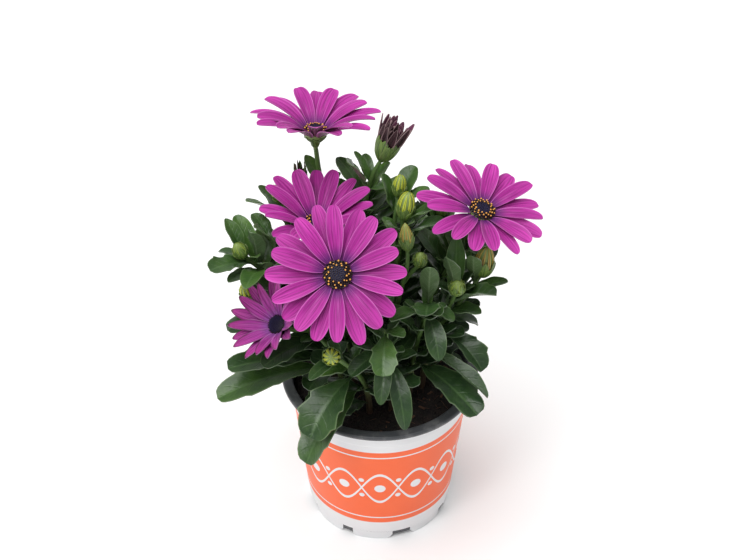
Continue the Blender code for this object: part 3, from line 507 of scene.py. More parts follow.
# Stems. Each shoot is a green stem that stands in the potting mix, soft and a little ribbed, woodier and
# purplish towards its foot. The ones that carry a bloom are long and bare near their top.
STEM_FOOT_RADIUS = 2.1 * MM
STEM_TIP_RADIUS = 1.15 * MM
STEM_STEPS = 6
BARE_TIP, LEAFY_TIP = 1.2, 0.95
BRANCH_FOOT = 1.15
SHOOTS = {
    "front_bloom": [(-6, -12, 81), (-7, -14, 110), (-11, -22, 155), (-18, -36, 196), (-23.2, -44.4, 212.3)],
    "tall_bloom": [(-12, 8, 81), (-13, 11, 110), (-21, 24, 155), (-33, 37, 206), (-37.2, 39, 241.9)],
    "middle_bloom": [(-15, -3, 81), (-16, -4, 112), (-23, -6, 155), (-32, -1, 188), (-36, 3, 205.2)],
    "right_bloom": [(17, 4, 81), (19, 5, 112), (30, 6, 155), (46, 2, 195), (53.9, -3.8, 219.3)],
    "low_bloom": [(-20, -17, 81), (-22, -19, 108), (-27, -23, 136), (-38, -27, 157), (-52.5, -36.3, 167.9)],
    "top_bud": [(0, 12, 81), (-1, 13, 112), (-6, 16, 160), (-9, 20, 205), (-5, 20, 232), (1, 20, 246)],
    "bud_pair": [(6, -1, 81), (7, 0, 112), (9, 0, 160), (11, -3, 200), (13, -6, 224)],
    "right": [(25, -3, 81), (27, -4, 110), (33, -7, 140), (41, -13, 168), (43, -20, 182)],
    "right_low": [(17, -13, 81), (18, -15, 108), (20, -20, 135), (24, -25, 160), (27, -29, 180)],
    "front_right": [(7, -22, 81), (7, -25, 108), (7, -34, 135), (4, -44, 160), (3, -52, 180)],
    "front_low": [(-6, -25, 81), (-7, -28, 108), (-11, -38, 132), (-20, -50, 154), (-27, -59, 168)],
    "left": [(-26, -5, 81), (-28, -6, 108), (-40, -10, 145), (-60, -16, 186), (-76, -23, 210)],
    "back_left": [(-23, 12, 81), (-26, 15, 108), (-40, 24, 145), (-53, 30, 182), (-57, 30, 209)],
    "back": [(-4, 24, 81), (-5, 28, 108), (-9, 42, 145), (-12, 56, 190)],
    "back_right": [(13, 18, 81), (15, 22, 108), (24, 36, 145), (36, 46, 188)],
    "far_right": [(27, 9, 81), (30, 11, 108), (44, 20, 140), (60, 26, 172)],
}
BRANCHES = {
    "tall_bloom": [(0.5, [(-40, 40, 192), (-46, 40, 213)])],
    "bud_pair": [
        (0.70, [(8, 3, 210), (10, 4, 232)]),
        (0.45, [(13, -10, 180), (15, -20, 200), (15, -22, 214)]),
        (0.58, [(17, -14, 190), (22, -22, 203)]),
    ],
    "right": [(0.62, [(50, -10, 172), (58, -8, 185)])],
    "left": [
        (0.60, [(-58, -13, 198), (-60, -12, 212)]),
        (0.52, [(-66, -10, 162), (-75.6, -14, 173.5)]),
    ],
    "back": [(0.6, [(-22, 50, 180), (-27, 52, 196)])],
    "back_right": [(0.62, [(22, 52, 176), (20, 58, 190)])],
}


def smooth_route(points, steps=2):
    """Points along a Catmull-Rom curve through a route given in millimetres."""
    knots = [Vector(p) * MM for p in points]
    ends = [2 * knots[0] - knots[1], *knots, 2 * knots[-1] - knots[-2]]
    made = []
    for a, b, c, d in zip(ends, ends[1:], ends[2:], ends[3:]):
        for i in range(steps):
            t = i / steps
            square, cube = (2 * a - 5 * b + 4 * c - d) * t**2, (3 * b - a - 3 * c + d) * t**3
            made.append(0.5 * (2 * b + (c - a) * t + square + cube))
    return made + [knots[-1]]


def place_on(route, share):
    """The point at a share of a route's length."""
    lengths = [(b - a).length for a, b in zip(route, route[1:])]
    left = share * sum(lengths)
    for a, b, length in zip(route, route[1:], lengths):
        if left <= length:
            return a.lerp(b, left / length)
        left -= length
    return route[-1].copy()


def routes_of(shoot, steps=2):
    """The shoot's own route, then one for each of its branches."""
    main = smooth_route(SHOOTS[shoot])
    found = [smooth_route(SHOOTS[shoot], steps)]
    for share, points in BRANCHES.get(shoot, []):
        start = place_on(main, share) / MM
        found.append(smooth_route([tuple(start), *points], steps))
    return found


def stem_bm(route, foot_radius, tip_radius, bevel_steps):
    """A tapered tube along a route, as a closed mesh."""
    curve = bpy.data.curves.new("stem", "CURVE")
    curve.dimensions = "3D"
    curve.bevel_depth = 1.0
    curve.bevel_resolution = bevel_steps
    curve.use_fill_caps = True
    spline = curve.splines.new("POLY")
    spline.points.add(len(route) - 1)
    for i, place in enumerate(route):
        spline.points[i].co = (*place, 1.0)
        spline.points[i].radius = foot_radius + (tip_radius - foot_radius) * i / (len(route) - 1)
    obj = bpy.data.objects.new("stem", curve)
    bpy.context.scene.collection.objects.link(obj)
    graph = bpy.context.evaluated_depsgraph_get()
    mesh = bpy.data.meshes.new_from_object(obj.evaluated_get(graph))
    bpy.data.objects.remove(obj)
    bpy.data.curves.remove(curve)
    bm = bmesh.new()
    bm.from_mesh(mesh)
    bpy.data.meshes.remove(mesh)
    bmesh.ops.remove_doubles(bm, verts=bm.verts, dist=1e-6)
    bmesh.ops.recalc_face_normals(bm, faces=bm.faces)
    return bm


def stem_material():
    made, paint, shader = material("stem", 0.5)
    place = object_place(paint)
    up = paint.add("SeparateXYZ", {0: place}).outputs["Z"]
    tone = mottled(paint, place, 5 * MM)
    green = paint.mix(tone, (0.06, 0.13, 0.03), (0.14, 0.24, 0.06))
    woody = paint.mix(tone, (0.06, 0.045, 0.025), (0.11, 0.06, 0.045))
    low = paint.rise(paint.plus(up, paint.times(tone, 20 * MM)), 150 * MM, 105 * MM)
    paint.colour(shader, paint.mix(low, green, woody))
    stretched = paint.add("Mapping", {"Vector": place, "Scale": (1.0, 1.0, 0.08)}).outputs[0]
    ribs = mottled(paint, stretched, 0.6 * MM)
    paint.bump(shader, ribs, 0.5, 0.3 * MM)
    return made


STEM = stem_material()
BARE_SHOOTS = ("front_bloom", "tall_bloom", "middle_bloom", "right_bloom", "low_bloom")
routes = {name: routes_of(name) for name in SHOOTS}
hulls = {name: [] for name in SHOOTS}
stem_heaps = {name: Heap() for name in SHOOTS}
for name in SHOOTS:
    for number, (route, fine) in enumerate(zip(routes[name], routes_of(name, STEM_STEPS))):
        bare = name in BARE_SHOOTS and number == 0
        tip = STEM_TIP_RADIUS * (BARE_TIP if bare else LEAFY_TIP)
        foot = STEM_FOOT_RADIUS if number == 0 else STEM_TIP_RADIUS * BRANCH_FOOT
        hulls[name].append(stem_bm(route, foot, tip, 1))
        stem_heaps[name].add(stem_bm(fine, foot, tip, 3), 0)


# Closed buds. Each is an egg of rolled ray florets in two layers of green bracts, on the end of a stem. Young
# ones show yellow-green ray backs with dark lines between the bracts, older ones brown and orange tips. Each
# line gives shoot, branch, length and radius in millimetres, axis and look.
BUDS = [
    ("bud_pair", 0, 19, 5.2, (0.15, 0.0, 1.0), "yellow"),
    ("bud_pair", 1, 15, 4.0, (0.1, 0.0, 1.0), "yellow"),
    ("bud_pair", 2, 18, 3.6, (-0.1, 0.0, 1.0), "showing"),
    ("bud_pair", 3, 11, 3.5, (0.0, -0.3, 1.0), "green"),
    ("right", 0, 12, 4.4, (0.05, -0.35, 0.9), "green"),
    ("right", 1, 21, 5.8, (0.12, 0.0, 1.0), "showing"),
    ("front_low", 0, 14, 4.9, (0.02, -0.8, 0.6), "yellow"),
    ("left", 0, 11, 4.0, (-0.3, -0.2, 0.9), "green"),
    ("left", 2, 14, 4.2, (-0.14, -0.35, 0.93), "yellow"),
    ("back_left", 0, 15, 3.7, (-0.37, -0.12, 0.9), "yellow"),
    ("tall_bloom", 1, 17, 3.4, (-0.05, 0.0, 1.0), "spent"),
    ("back", 0, 14, 4.4, (0.0, 0.3, 1.0), "green"),
    ("back", 1, 12, 3.8, (-0.3, 0.2, 1.0), "yellow"),
    ("back_right", 0, 14, 4.2, (0.3, 0.2, 1.0), "yellow"),
    ("far_right", 0, 13, 4.2, (0.5, 0.2, 0.9), "green"),
]
BUD_SIDES = 8
BUD_RINGS = ((0.0, 0.42), (0.16, 0.92), (0.52, 1.0), (0.84, 0.56))
BUD_RIB = 0.09
BRACT = 0.35 * MM
KEEL = 0.25 * MM
SLOPE_STEP = 0.1 * MM
BUD_FOOT = -0.08
BUD_CORE = 0.86
BUD_CORE_SIDES = 12
BUD_RAYS = 9
RAY_SINK = -0.35 * MM
BUD_BRACTS = ((6, 0.80, -0.1 * MM), (6, 0.58, 0.15 * MM))
BUD_FLARE = 0.5 * MM
BRACT_SHARE = {"yellow": 0.75, "spent": 1.12, "showing": 0.72}
YOUNG_LENGTH = 0.9
SPENT_WAIST, SPENT_CORE = 0.5, 0.7
BUD_ROWS, BRACT_ROWS, BRACT_COLUMNS = 8, 7, 4
BUD_SEED = 900


def facing(axis, at, spin=0.0):
    """A frame at a place, with its z along axis."""
    z = Vector(axis).normalized()
    turn = z.to_track_quat("Z", "Y").to_matrix().to_4x4()
    return Matrix.Translation(at) @ turn @ Matrix.Rotation(spin, 4, "Z")


def ringed(place, profile, sides):
    """A closed body whose rings run along a profile, each a height, a tooth's reach and a dip's reach."""
    bm = bmesh.new()
    last = len(profile) - 1
    bmesh.ops.create_grid(bm, x_segments=sides, y_segments=last, size=1.0)
    for vert in bm.verts:
        column = round((vert.co.x + 1) / 2 * sides)
        height, tooth, dip = profile[round((vert.co.y + 1) / 2 * last)]
        reach, turn = (dip if column % 2 else tooth), 2 * math.pi * column / sides
        vert.co = place @ Vector((reach * math.cos(turn), reach * math.sin(turn), height))
    bmesh.ops.remove_doubles(bm, verts=bm.verts, dist=1e-7)
    bmesh.ops.triangulate(bm, faces=bm.faces)
    bmesh.ops.recalc_face_normals(bm, faces=bm.faces)
    return bm


def bud_hull(place, length, radius):
    """The ribbed egg that the bud keeps within."""
    profile = [(h * length, radius * w * (1 + BUD_RIB), radius * w * (1 - BUD_RIB)) for h, w in BUD_RINGS]
    return ringed(place, [(BUD_FOOT * length, 0, 0), *profile, (length, 0, 0)], BUD_SIDES)


def lay_blade(bm, blade, rows, columns, thickness, spread=0.0):
    """Lays a flat grid on a blade's upper side, and gives each vertex's place across, along and normal."""
    bmesh.ops.create_grid(bm, x_segments=columns, y_segments=len(rows) - 1, size=1.0)
    across = {}
    for index, vert in enumerate(sorted(bm.verts, key=lambda v: (round(v.co.y, 4), v.co.x))):
        t, u = rows[index // (columns + 1)], 2 * (index % (columns + 1)) / columns - 1
        middle = blade.point(0, t)[0]
        place, normal = blade.point(u, t)
        away = place - middle
        if spread and away.length > 1e-6:
            place += away.normalized() * spread
        vert.co = place + normal * thickness / 2
        across[vert] = (u, t, normal)
    return across


def blade_mesh(blade, rows, thickness, spread=0.0, start=0.0):
    """A closed blade with few faces, for telling what it would touch."""
    bm = bmesh.new()
    lay_blade(bm, blade, [t for t in rows if t >= start], blade.columns, thickness, spread)
    bmesh.ops.remove_doubles(bm, verts=bm.verts, dist=1e-6)
    bmesh.ops.triangulate(bm, faces=bm.faces)
    bmesh.ops.solidify(bm, geom=bm.faces[:], thickness=thickness)
    bmesh.ops.recalc_face_normals(bm, faces=bm.faces)
    return bm


def fine_blade(blade, rows, thickness, columns, growth):
    """A closed blade as it shows. It keeps its place across and along as UV, and its age, whether it is the
    underside, and a chance number as its growth colour."""
    bm = bmesh.new()
    uv = bm.loops.layers.uv.new("blade")
    tint = bm.loops.layers.float_color.new("growth")
    down = bm.verts.layers.float_vector.new("down")
    for vert, (u, t, normal) in lay_blade(bm, blade, rows, columns, thickness).items():
        vert[down] = normal * thickness
        for loop in vert.link_loops:
            loop[uv].uv = ((u + 1) / 2, t)
            loop[tint] = (growth[0], 0.0, growth[1], 1.0)
    bmesh.ops.remove_doubles(bm, verts=bm.verts, dist=1e-6)
    upper = set(bm.faces)
    under = bmesh.ops.extrude_face_region(bm, geom=bm.faces[:], use_keep_orig=True)["geom"]
    for vert in under:
        if isinstance(vert, bmesh.types.BMVert):
            vert.co -= Vector(vert[down])
    for face in bm.faces:
        if face not in upper:
            for loop in face.loops:
                loop[tint] = (growth[0], 1.0, growth[1], 1.0)
    bm.verts.layers.float_vector.remove(bm.verts.layers.float_vector["down"])
    bmesh.ops.recalc_face_normals(bm, faces=bm.faces)
    return bm


def even_rows(count, end=1.0):
    return [end * i / count for i in range(count + 1)]


class Bract:
    """A pointed scale wrapped round a bud or cup, whose radius at a height is reach(height)."""

    def __init__(self, place, turn, reach, low, high, spread, lift, flare=0.0):
        self.place, self.turn, self.reach = place, turn, reach
        self.low, self.high, self.spread, self.lift, self.flare = low, high, spread, lift, flare

    def point(self, u, t):
        height = self.low + (self.high - self.low) * t
        half = self.spread * (0.75 + 0.5 * t) * max(1 - t**2.2, 0.0) ** 0.7
        turn = self.turn + u * half
        keel = KEEL * (1 - abs(u)) * (1 - t)
        away = self.reach(height) + self.lift + keel + self.flare * t**3
        outward = Vector((math.cos(turn), math.sin(turn), 0))
        slope = (self.reach(height + SLOPE_STEP) - self.reach(height)) / SLOPE_STEP
        normal = (outward - Vector((0, 0, slope))).normalized()
        at = outward * away + Vector((0, 0, height))
        return self.place @ at, (self.place.to_3x3() @ normal).normalized()


def egg(share, blunt=0.0):
    """A bud's radius at a share of its length, over its widest."""
    share = max(0.0, min(1.0, share))
    return 0.42 * (1 - share) + (2.026 - 0.5 * blunt) * share**0.627 * (1 - share) ** (0.712 - 0.3 * blunt)


def off_middle(paint, across):
    """How far a point lies from its blade's middle line, which is 0, to its edge, which is 1."""
    return paint.absolute(paint.minus(paint.times(across, 2.0), 1.0))


def blade_marks_group():
    """The marks of a green blade from its place across (0 to 1) and along: its rib, side veins and margin."""
    inputs = [("Across", "Float"), ("Along", "Float"), ("Veins", "Float")]
    paint, given, made = node_group("blade_marks", inputs, ["Rib", "Side veins", "Margin"])
    off = off_middle(paint, given["Across"])
    paint.feed(made["Rib"], paint.rise(off, 0.13, 0.02))
    slant = paint.minus(given["Along"], paint.times(off, 0.16))
    wave = paint.math("FRACT", paint.times(slant, given["Veins"]))
    vein = paint.rise(paint.absolute(paint.minus(wave, 0.5)), 0.1, 0.0)
    paint.feed(made["Side veins"], paint.times(vein, paint.rise(off, 0.95, 0.5)))
    paint.feed(made["Margin"], paint.rise(off, 0.9, 0.985))
    return paint.tree


def long_lines_group():
    """Fine lines that run along a blade, from its place across (0 to 1) and a chance number."""
    inputs = [("Across", "Float"), ("Along", "Float"), ("Lines", "Float"), ("Chance", "Float")]
    paint, given, made = node_group("long_lines", inputs, ["Tone"])
    shift = paint.times(given["Chance"], 40.0)
    across = paint.plus(paint.times(given["Across"], given["Lines"]), shift)
    along = paint.times(given["Along"], 1.6)
    at = paint.add("CombineXYZ", {0: across, 1: along, 2: given["Chance"]}).outputs[0]
    tone = paint.add("TexNoise", {"Vector": at, "Scale": 1.0, "Detail": 2.0, "Roughness": 0.5})
    paint.feed(made["Tone"], tone.outputs["Fac"])
    return paint.tree


BLADE_MARKS = blade_marks_group()
LONG_LINES = long_lines_group()


def long_lines(paint, across, along, chance, lines):
    inputs = {"Across": across, "Along": along, "Lines": lines, "Chance": chance}
    return paint.group(LONG_LINES, inputs)["Tone"]


def blade_inputs(paint):
    """Where a point lies across and along its blade, then the blade's age, underside and chance."""
    at = paint.add("SeparateXYZ", {0: paint.add("UVMap", uv_map="blade").outputs[0]}).outputs
    growth = paint.split(paint.add("Attribute", attribute_name="growth").outputs["Color"])
    return at["X"], at["Y"], growth["Red"], growth["Green"], growth["Blue"]


def bract_material():
    """Green scales with a dark keel and pale edges."""
    made, paint, shader = material("bract", 0.5)
    across, along, age, _, chance = blade_inputs(paint)
    marks = paint.group(BLADE_MARKS, {"Across": across, "Along": along, "Veins": 5.0})
    lines = long_lines(paint, across, along, chance, 7.0)
    young = paint.mix(paint.rise(lines, 0.35, 0.65), (0.07, 0.14, 0.022), (0.17, 0.27, 0.045))
    old = paint.mix(paint.rise(lines, 0.35, 0.65), (0.036, 0.075, 0.018), (0.09, 0.15, 0.035))
    green = paint.mix(age, old, young)
    keeled = paint.mix(paint.times(marks["Rib"], 0.7), green, (0.035, 0.06, 0.02))
    paint.colour(shader, paint.mix(paint.times(marks["Margin"], 0.6), keeled, (0.27, 0.35, 0.12)))
    paint.bump(shader, lines, 0.4, 0.2 * MM)
    return made


def ray_back_material(name, dark, mid, pale):
    """The rolled backs of closed rays: striped along, with a dark line down each."""
    made, paint, shader = material(name, 0.5)
    across, along, _, _, chance = blade_inputs(paint)
    off = off_middle(paint, across)
    lines = long_lines(paint, across, along, chance, 9.0)
    base = paint.mix(paint.rise(lines, 0.35, 0.65), mid, pale)
    stripe = paint.rise(paint.plus(off, paint.times(lines, 0.3)), 0.5, 0.25)
    base = paint.mix(paint.times(stripe, 0.85), base, dark)
    paint.colour(shader, paint.mix(paint.times(paint.rise(off, 0.8, 0.97), 0.7), base, pale))
    paint.bump(shader, lines, 0.4, 0.2 * MM)
    return made


BRACT_GREEN = bract_material()
RAY_BACK_TONES = {
    "yellow": ("young_ray_back", (0.045, 0.080, 0.008), (0.42, 0.50, 0.022), (0.62, 0.66, 0.07)),
    "green": ("green_ray_back", (0.04, 0.07, 0.010), (0.17, 0.27, 0.03), (0.32, 0.42, 0.07)),
    "showing": ("orange_ray_back", (0.075, 0.022, 0.018), (0.36, 0.18, 0.03), (0.50, 0.42, 0.08)),
    "spent": ("spent_ray", (0.010, 0.007, 0.008), (0.055, 0.028, 0.018), (0.12, 0.065, 0.04)),
}
RAY_BACKS = {look: ray_back_material(*tones) for look, tones in RAY_BACK_TONES.items()}


def build_bud(heap, place, length, radius, look, seed):
    """A core, then rolled rays, then two layers of bracts. A spent one stays open at its top, and ragged."""
    chance = random.Random(seed)
    spent = look == "spent"
    blunt = 1.0 if look == "yellow" else 0.0
    length *= YOUNG_LENGTH if look == "yellow" else 1.0

    def reach(height):
        share = height / length
        if spent:
            share = min(share, SPENT_WAIST)
        return radius * egg(share, blunt)

    full = SPENT_CORE if spent else 1.0
    core = [(BUD_FOOT * length, 0, 0)]
    for share in even_rows(BUD_ROWS):
        width = BUD_CORE * radius * egg(share, blunt)
        core.append((share * length * full, width, width))
    heap.add(ringed(place, core, BUD_CORE_SIDES), 2 if spent else 1)
    for i in range(BUD_RAYS):
        turn = 2 * math.pi * (i + 0.1 * chance.random()) / BUD_RAYS
        end = chance.uniform(0.72, 1.04) if spent else chance.uniform(0.95, 1.0)
        ray = Bract(place, turn, reach, 0.1 * length, end * length, 0.62 * math.pi / BUD_RAYS, RAY_SINK)
        growth = (1.0, chance.random())
        heap.add(fine_blade(ray, even_rows(BUD_ROWS), BRACT, BRACT_COLUMNS, growth), 2)
    for layer, (count, high, lift) in enumerate(BUD_BRACTS):
        for i in range(count):
            turn = 2 * math.pi * (i + 0.5 * layer) / count + 0.1 * chance.random()
            top = high * chance.uniform(0.85, 1.05) * BRACT_SHARE.get(look, 1.0) * length
            bract = Bract(place, turn, reach, -0.03 * length, top, 1.0 * math.pi / count, lift, BUD_FLARE)
            growth = (0.0 if spent else chance.uniform(0.4, 1.0), chance.random())
            heap.add(fine_blade(bract, even_rows(BRACT_ROWS), BRACT, BRACT_COLUMNS, growth), 1)


bud_heaps = {}
for number, (shoot, branch, length, radius, axis, look) in enumerate(BUDS):
    place = facing(axis, routes[shoot][branch][-1])
    hulls[shoot].append(bud_hull(place, length * MM, radius * MM))
    heap = Heap()
    build_bud(heap, place, length * MM, radius * MM, look, BUD_SEED + number)
    bud_heaps[f"bud_{shoot}_{branch}"] = (heap, look, shoot)


# Ray florets. Each open daisy is a ring of magenta rays in two layers on a green plate, soft and thin, with
# two long grooves that carry painted shade, a dark violet base that is partly painted shade next to the disc,
# and a brown-purple back. They hold at their root under the disc. Each bloom gives centre, axis, reach, disc
# radius, count, width, rise, recurve and seed, in millimetres and degrees.
BLADE = 0.7 * MM
BLOOMS = {
    "front_bloom": ((-23, -50, 218), (0.03, -0.70, 0.71), 38.5, 8.2, 20, 9.6, 13, 16, 3),
    "tall_bloom": ((-37, 40, 250), (0.02, 0.12, 0.99), 40.0, 7.0, 18, 9.2, 44, 48, 5),
    "middle_bloom": ((-36, 2, 213), (0.0, -0.12, 0.99), 37.0, 7.0, 16, 9.4, 43, 26, 8),
    "right_bloom": ((56, -5, 227), (0.26, -0.15, 0.93), 37.5, 7.8, 18, 9.2, 19, 20, 11),
    "low_bloom": ((-57, -40, 174), (-0.52, -0.44, 0.73), 29.5, 5.6, 18, 6.8, 43, 6, 14),
}
CALYX_DEPTH = 8.0 * MM
PLATE_HALF = 0.9 * MM
PLATE_INSET = 0.6 * MM
GAP = 0.3 * MM
LAYER_LIFT = 0.45 * MM
LAYER_ANGLE = math.radians(5.5)
PETAL_ROOT_HALF = 1.05 * MM
CALYX_SIDES = 10
PETAL_COLUMNS = 8
PETAL_LENGTHWAYS = 20
PETAL_BLADE = 0.42 * MM
GROOVE = 0.42 * MM
GROOVE_AT, GROOVE_WIDTH = 0.34, 0.16
RIDGE_SHARE, RIDGE_WIDTH = 0.35, 0.2
PETAL_CUP = {"low_bloom": 0.42}
PETAL_ROLL = {"low_bloom": 16}
SHOULDER = 0.75
TIP_POWER, PETAL_TIP = 0.42, {"low_bloom": 0.66}
TALL_BLOOM_LIFT = 22
FINE_PETAL_REACH = 0.975
PLATE_SIDES, CUP_ROWS, CUP_SIDES = 32, 10, 24
CALYX_SEED, RAY_SEED = 950, 970


class Petal:
    """A ray floret in a bloom's frame: it leaves the plate's edge at an angle, rises and curves back."""

    def __init__(self, place, turn, root, height, length, width, rise, recurve, roll, cup, grooves=1.0):
        self.place, self.root, self.height = place, root, height
        self.length, self.width = length, width
        self.outward = Vector((math.cos(turn), math.sin(turn), 0))
        self.rise, self.recurve, self.roll, self.cup, self.grooves = rise, recurve, roll, cup, grooves
        self.tip_power = TIP_POWER

    def half_width(self, t):
        end = self.tip_power
        peak = SHOULDER / (SHOULDER + end)
        blade = (t / peak) ** SHOULDER * (max(1 - t, 0.0) / (1 - peak)) ** end
        return PETAL_ROOT_HALF * (1 - t) + self.width / 2 * blade * (1 - 0.1 * (1 - t))

    def point(self, u, t):
        axis = Vector((0, 0, 1))
        angle = self.rise - self.recurve * t
        run = (math.sin(self.rise) - math.sin(angle)) / self.recurve
        climb = (math.cos(angle) - math.cos(self.rise)) / self.recurve
        away, up = self.root + self.length * run, self.height + self.length * climb
        rib = self.outward * away + axis * up
        along = self.outward * math.cos(angle) + axis * math.sin(angle)
        side = Matrix.Rotation(self.roll * t, 3, along) @ along.cross(axis).normalized()
        normal = side.cross(along)
        half = self.half_width(t)
        relief = -GROOVE * self.grooves * math.sin(math.pi * min(t * 1.15, 1.0)) * (
            math.exp(-(((abs(u) - GROOVE_AT) / GROOVE_WIDTH) ** 2))
            - RIDGE_SHARE * math.exp(-((u / RIDGE_WIDTH) ** 2))
        )
        local = rib + side * u * half + normal * (self.cup * u * u * half + relief)
        return self.place @ local, (self.place.to_3x3() @ normal).normalized()


def petals_of(bloom):
    """The ray florets of a bloom, in two layers that pass over each other without touching."""
    centre, axis, reach, disc_radius, count, width, rise, recurve, seed = BLOOMS[bloom]
    chance = random.Random(seed)
    place = facing(axis, Vector(centre) * MM)
    root = (disc_radius - 0.9) * MM
    made = []
    near = Vector((0, -1, 0))
    for i in range(count):
        upper = i % 2
        length = (reach - root / MM) * MM * (1.04 - 0.05 * upper) * chance.uniform(0.92, 1.04)
        length *= FINE_PETAL_REACH
        made.append(
            Petal(
                place,
                2 * math.pi * (i + chance.uniform(-0.16, 0.16)) / count,
                root,
                LAYER_LIFT * (2 * upper - 1),
                length,
                width * MM * chance.uniform(0.86, 1.06),
                math.radians(rise + chance.uniform(-1.2, 1.2)) + LAYER_ANGLE * (upper - 0.5),
                math.radians(recurve + chance.uniform(-2, 5)),
                math.radians(chance.uniform(-7, 7)) * PETAL_ROLL.get(bloom, 13) / 7,
                PETAL_CUP.get(bloom, 0.25),
            )
        )
    for petal in made:
        petal.tip_power = PETAL_TIP.get(bloom, petal.tip_power)
        if bloom == "tall_bloom":
            nearness = max((place.to_3x3() @ petal.outward).dot(near), 0.0)
            petal.recurve -= math.radians(TALL_BLOOM_LIFT) * nearness
    return place, made


def petal_material(name, tones, back, rim, line_share, tip_edge=0.0):
    """A ray floret: base, middle and tip tones along it, fine lines, painted shade along its two grooves, a
    pale rim, a dark edge at its tip, and its own back."""
    made, paint, shader = material(name, 0.48)
    shader["Sheen Weight"].default_value = 0.08
    shader["Specular IOR Level"].default_value = 0.2
    shader["Sheen Roughness"].default_value = 0.45
    across, along, _, under, chance = blade_inputs(paint)
    base, middle, tip = tones
    off = off_middle(paint, across)
    lines = long_lines(paint, across, along, chance, 15.0)
    hair = long_lines(paint, across, along, chance, 38.0)
    colour = paint.mix(paint.rise(along, 0.35, 1.0), middle, tip)
    # Towards its root a ray takes its base tone. On the magenta rays this dark violet is partly their own
    # base colour and partly painted shade where the rays meet the disc.
    colour = paint.mix(paint.rise(along, 0.34, 0.06), colour, base)
    darker = paint.mix(0.7, colour, (0.13, 0.006, 0.10))
    colour = paint.mix(paint.times(paint.rise(lines, 0.56, 0.38), line_share), colour, darker)
    colour = paint.mix(paint.times(paint.rise(hair, 0.5, 0.68), 0.30), colour, rim)
    strands = paint.plus(paint.times(across, 6.0), paint.times(lines, 0.9))
    strand = paint.rise(paint.absolute(paint.minus(paint.math("FRACT", strands), 0.5)), 0.1, 0.0)
    strand = paint.times(strand, paint.rise(along, 1.0, 0.8))
    colour = paint.mix(paint.times(strand, 0.75), colour, darker)
    # Painted shade: darker colour along the two grooves, where shade falls in the creases.
    groove = paint.rise(paint.absolute(paint.minus(off, GROOVE_AT)), 0.12, 0.0)
    colour = paint.mix(paint.times(groove, 0.4), colour, darker)
    colour = paint.mix(paint.times(chance, 0.3), colour, darker)
    colour = paint.mix(paint.times(paint.rise(off, 0.86, 0.97), 0.6), colour, rim)
    burnt = paint.times(paint.rise(off, 0.8, 0.92), paint.rise(along, 0.42, 0.65))
    burnt = paint.math("MAXIMUM", burnt, paint.rise(along, 0.92, 0.98))
    colour = paint.mix(paint.times(burnt, tip_edge), colour, back[0])
    behind = paint.mix(paint.rise(lines, 0.4, 0.62), back[0], back[1])
    behind = paint.mix(paint.times(paint.rise(off, 0.7, 0.98), 0.6), behind, rim)
    paint.colour(shader, paint.mix(under, colour, behind))
    ridges = paint.minus(lines, paint.times(strand, 0.6))
    paint.bump(shader, ridges, 0.5, 0.3 * MM)
    return made


# The magenta rays' dark violet base tone is partly painted shade next to the disc.
RAY_MAGENTA = petal_material(
    "ray_magenta",
    tones=((0.085, 0.008, 0.135), (0.43, 0.021, 0.295), (0.56, 0.040, 0.385)),
    back=((0.09, 0.012, 0.05), (0.21, 0.03, 0.13)),
    rim=(0.70, 0.19, 0.58),
    line_share=0.7,
)
RAY_LILAC = petal_material(
    "ray_lilac",
    tones=((0.32, 0.10, 0.43), (0.49, 0.065, 0.40), (0.46, 0.040, 0.29)),
    back=((0.07, 0.015, 0.03), (0.18, 0.035, 0.10)),
    rim=(0.56, 0.24, 0.52),
    line_share=0.9,
    tip_edge=0.8,
)


def calyx_rings(disc_radius):
    """The cup under a bloom: heights with the reach of its teeth and dips."""
    top = -PLATE_HALF - GAP
    return (
        (-CALYX_DEPTH - 1.5 * MM, 1.3 * MM, 1.3 * MM),
        (-6.2 * MM, 2.3 * MM, 2.3 * MM),
        (-3.4 * MM, disc_radius * 0.72, disc_radius * 0.66),
        (top - 0.7 * MM, disc_radius + 1.4 * MM, disc_radius - 0.9 * MM),
        (top, disc_radius - 0.4 * MM, disc_radius - 1.2 * MM),
    )


def closed_cup(place, rings):
    """A cup with flat ends."""
    return ringed(place, [(rings[0][0], 0, 0), *rings, (rings[-1][0], 0, 0)], CALYX_SIDES)


def between(rings, height):
    """The reach of a cup's dips at a height, read between its rings."""
    for (low, _, a), (high, _, b) in zip(rings, rings[1:]):
        if height <= high:
            return a + (b - a) * smooth_step((height - low) / (high - low))
    return rings[-1][2]


def build_calyx(heap, place, rings, seed, count, high, flare, egg_radius=0.0):
    """A smooth cup and its pointed bracts in two layers. An egg radius rounds it out to an egg."""
    chance = random.Random(seed)
    low, top = rings[0][0], rings[-1][0]

    def reach(height):
        share = max((height - low) / (top + high - low), 0.0)
        return max(between(rings, height), egg_radius * math.sqrt(math.sin(0.62 * math.pi * share)))

    smooth = [(low, 0, 0)]
    for share in even_rows(CUP_ROWS):
        height = low + (top - low) * share
        smooth.append((height, reach(height), reach(height)))
    heap.add(ringed(place, [*smooth, (top, 0, 0)], CUP_SIDES), 1)
    for layer in range(2):
        for i in range(count):
            turn = 2 * math.pi * (i + 0.5 * layer) / count
            end = top + (high - 0.9 * MM * layer) * chance.uniform(0.7, 1.1)
            start, spread = low + (2 - layer) * MM, 1.15 * math.pi / count
            bract = Bract(place, turn, reach, start, end, spread, 0.2 * MM * layer, flare)
            growth = (chance.uniform(0.2, 0.8), chance.random())
            heap.add(fine_blade(bract, even_rows(BRACT_ROWS), BRACT, BRACT_COLUMNS, growth), 1)


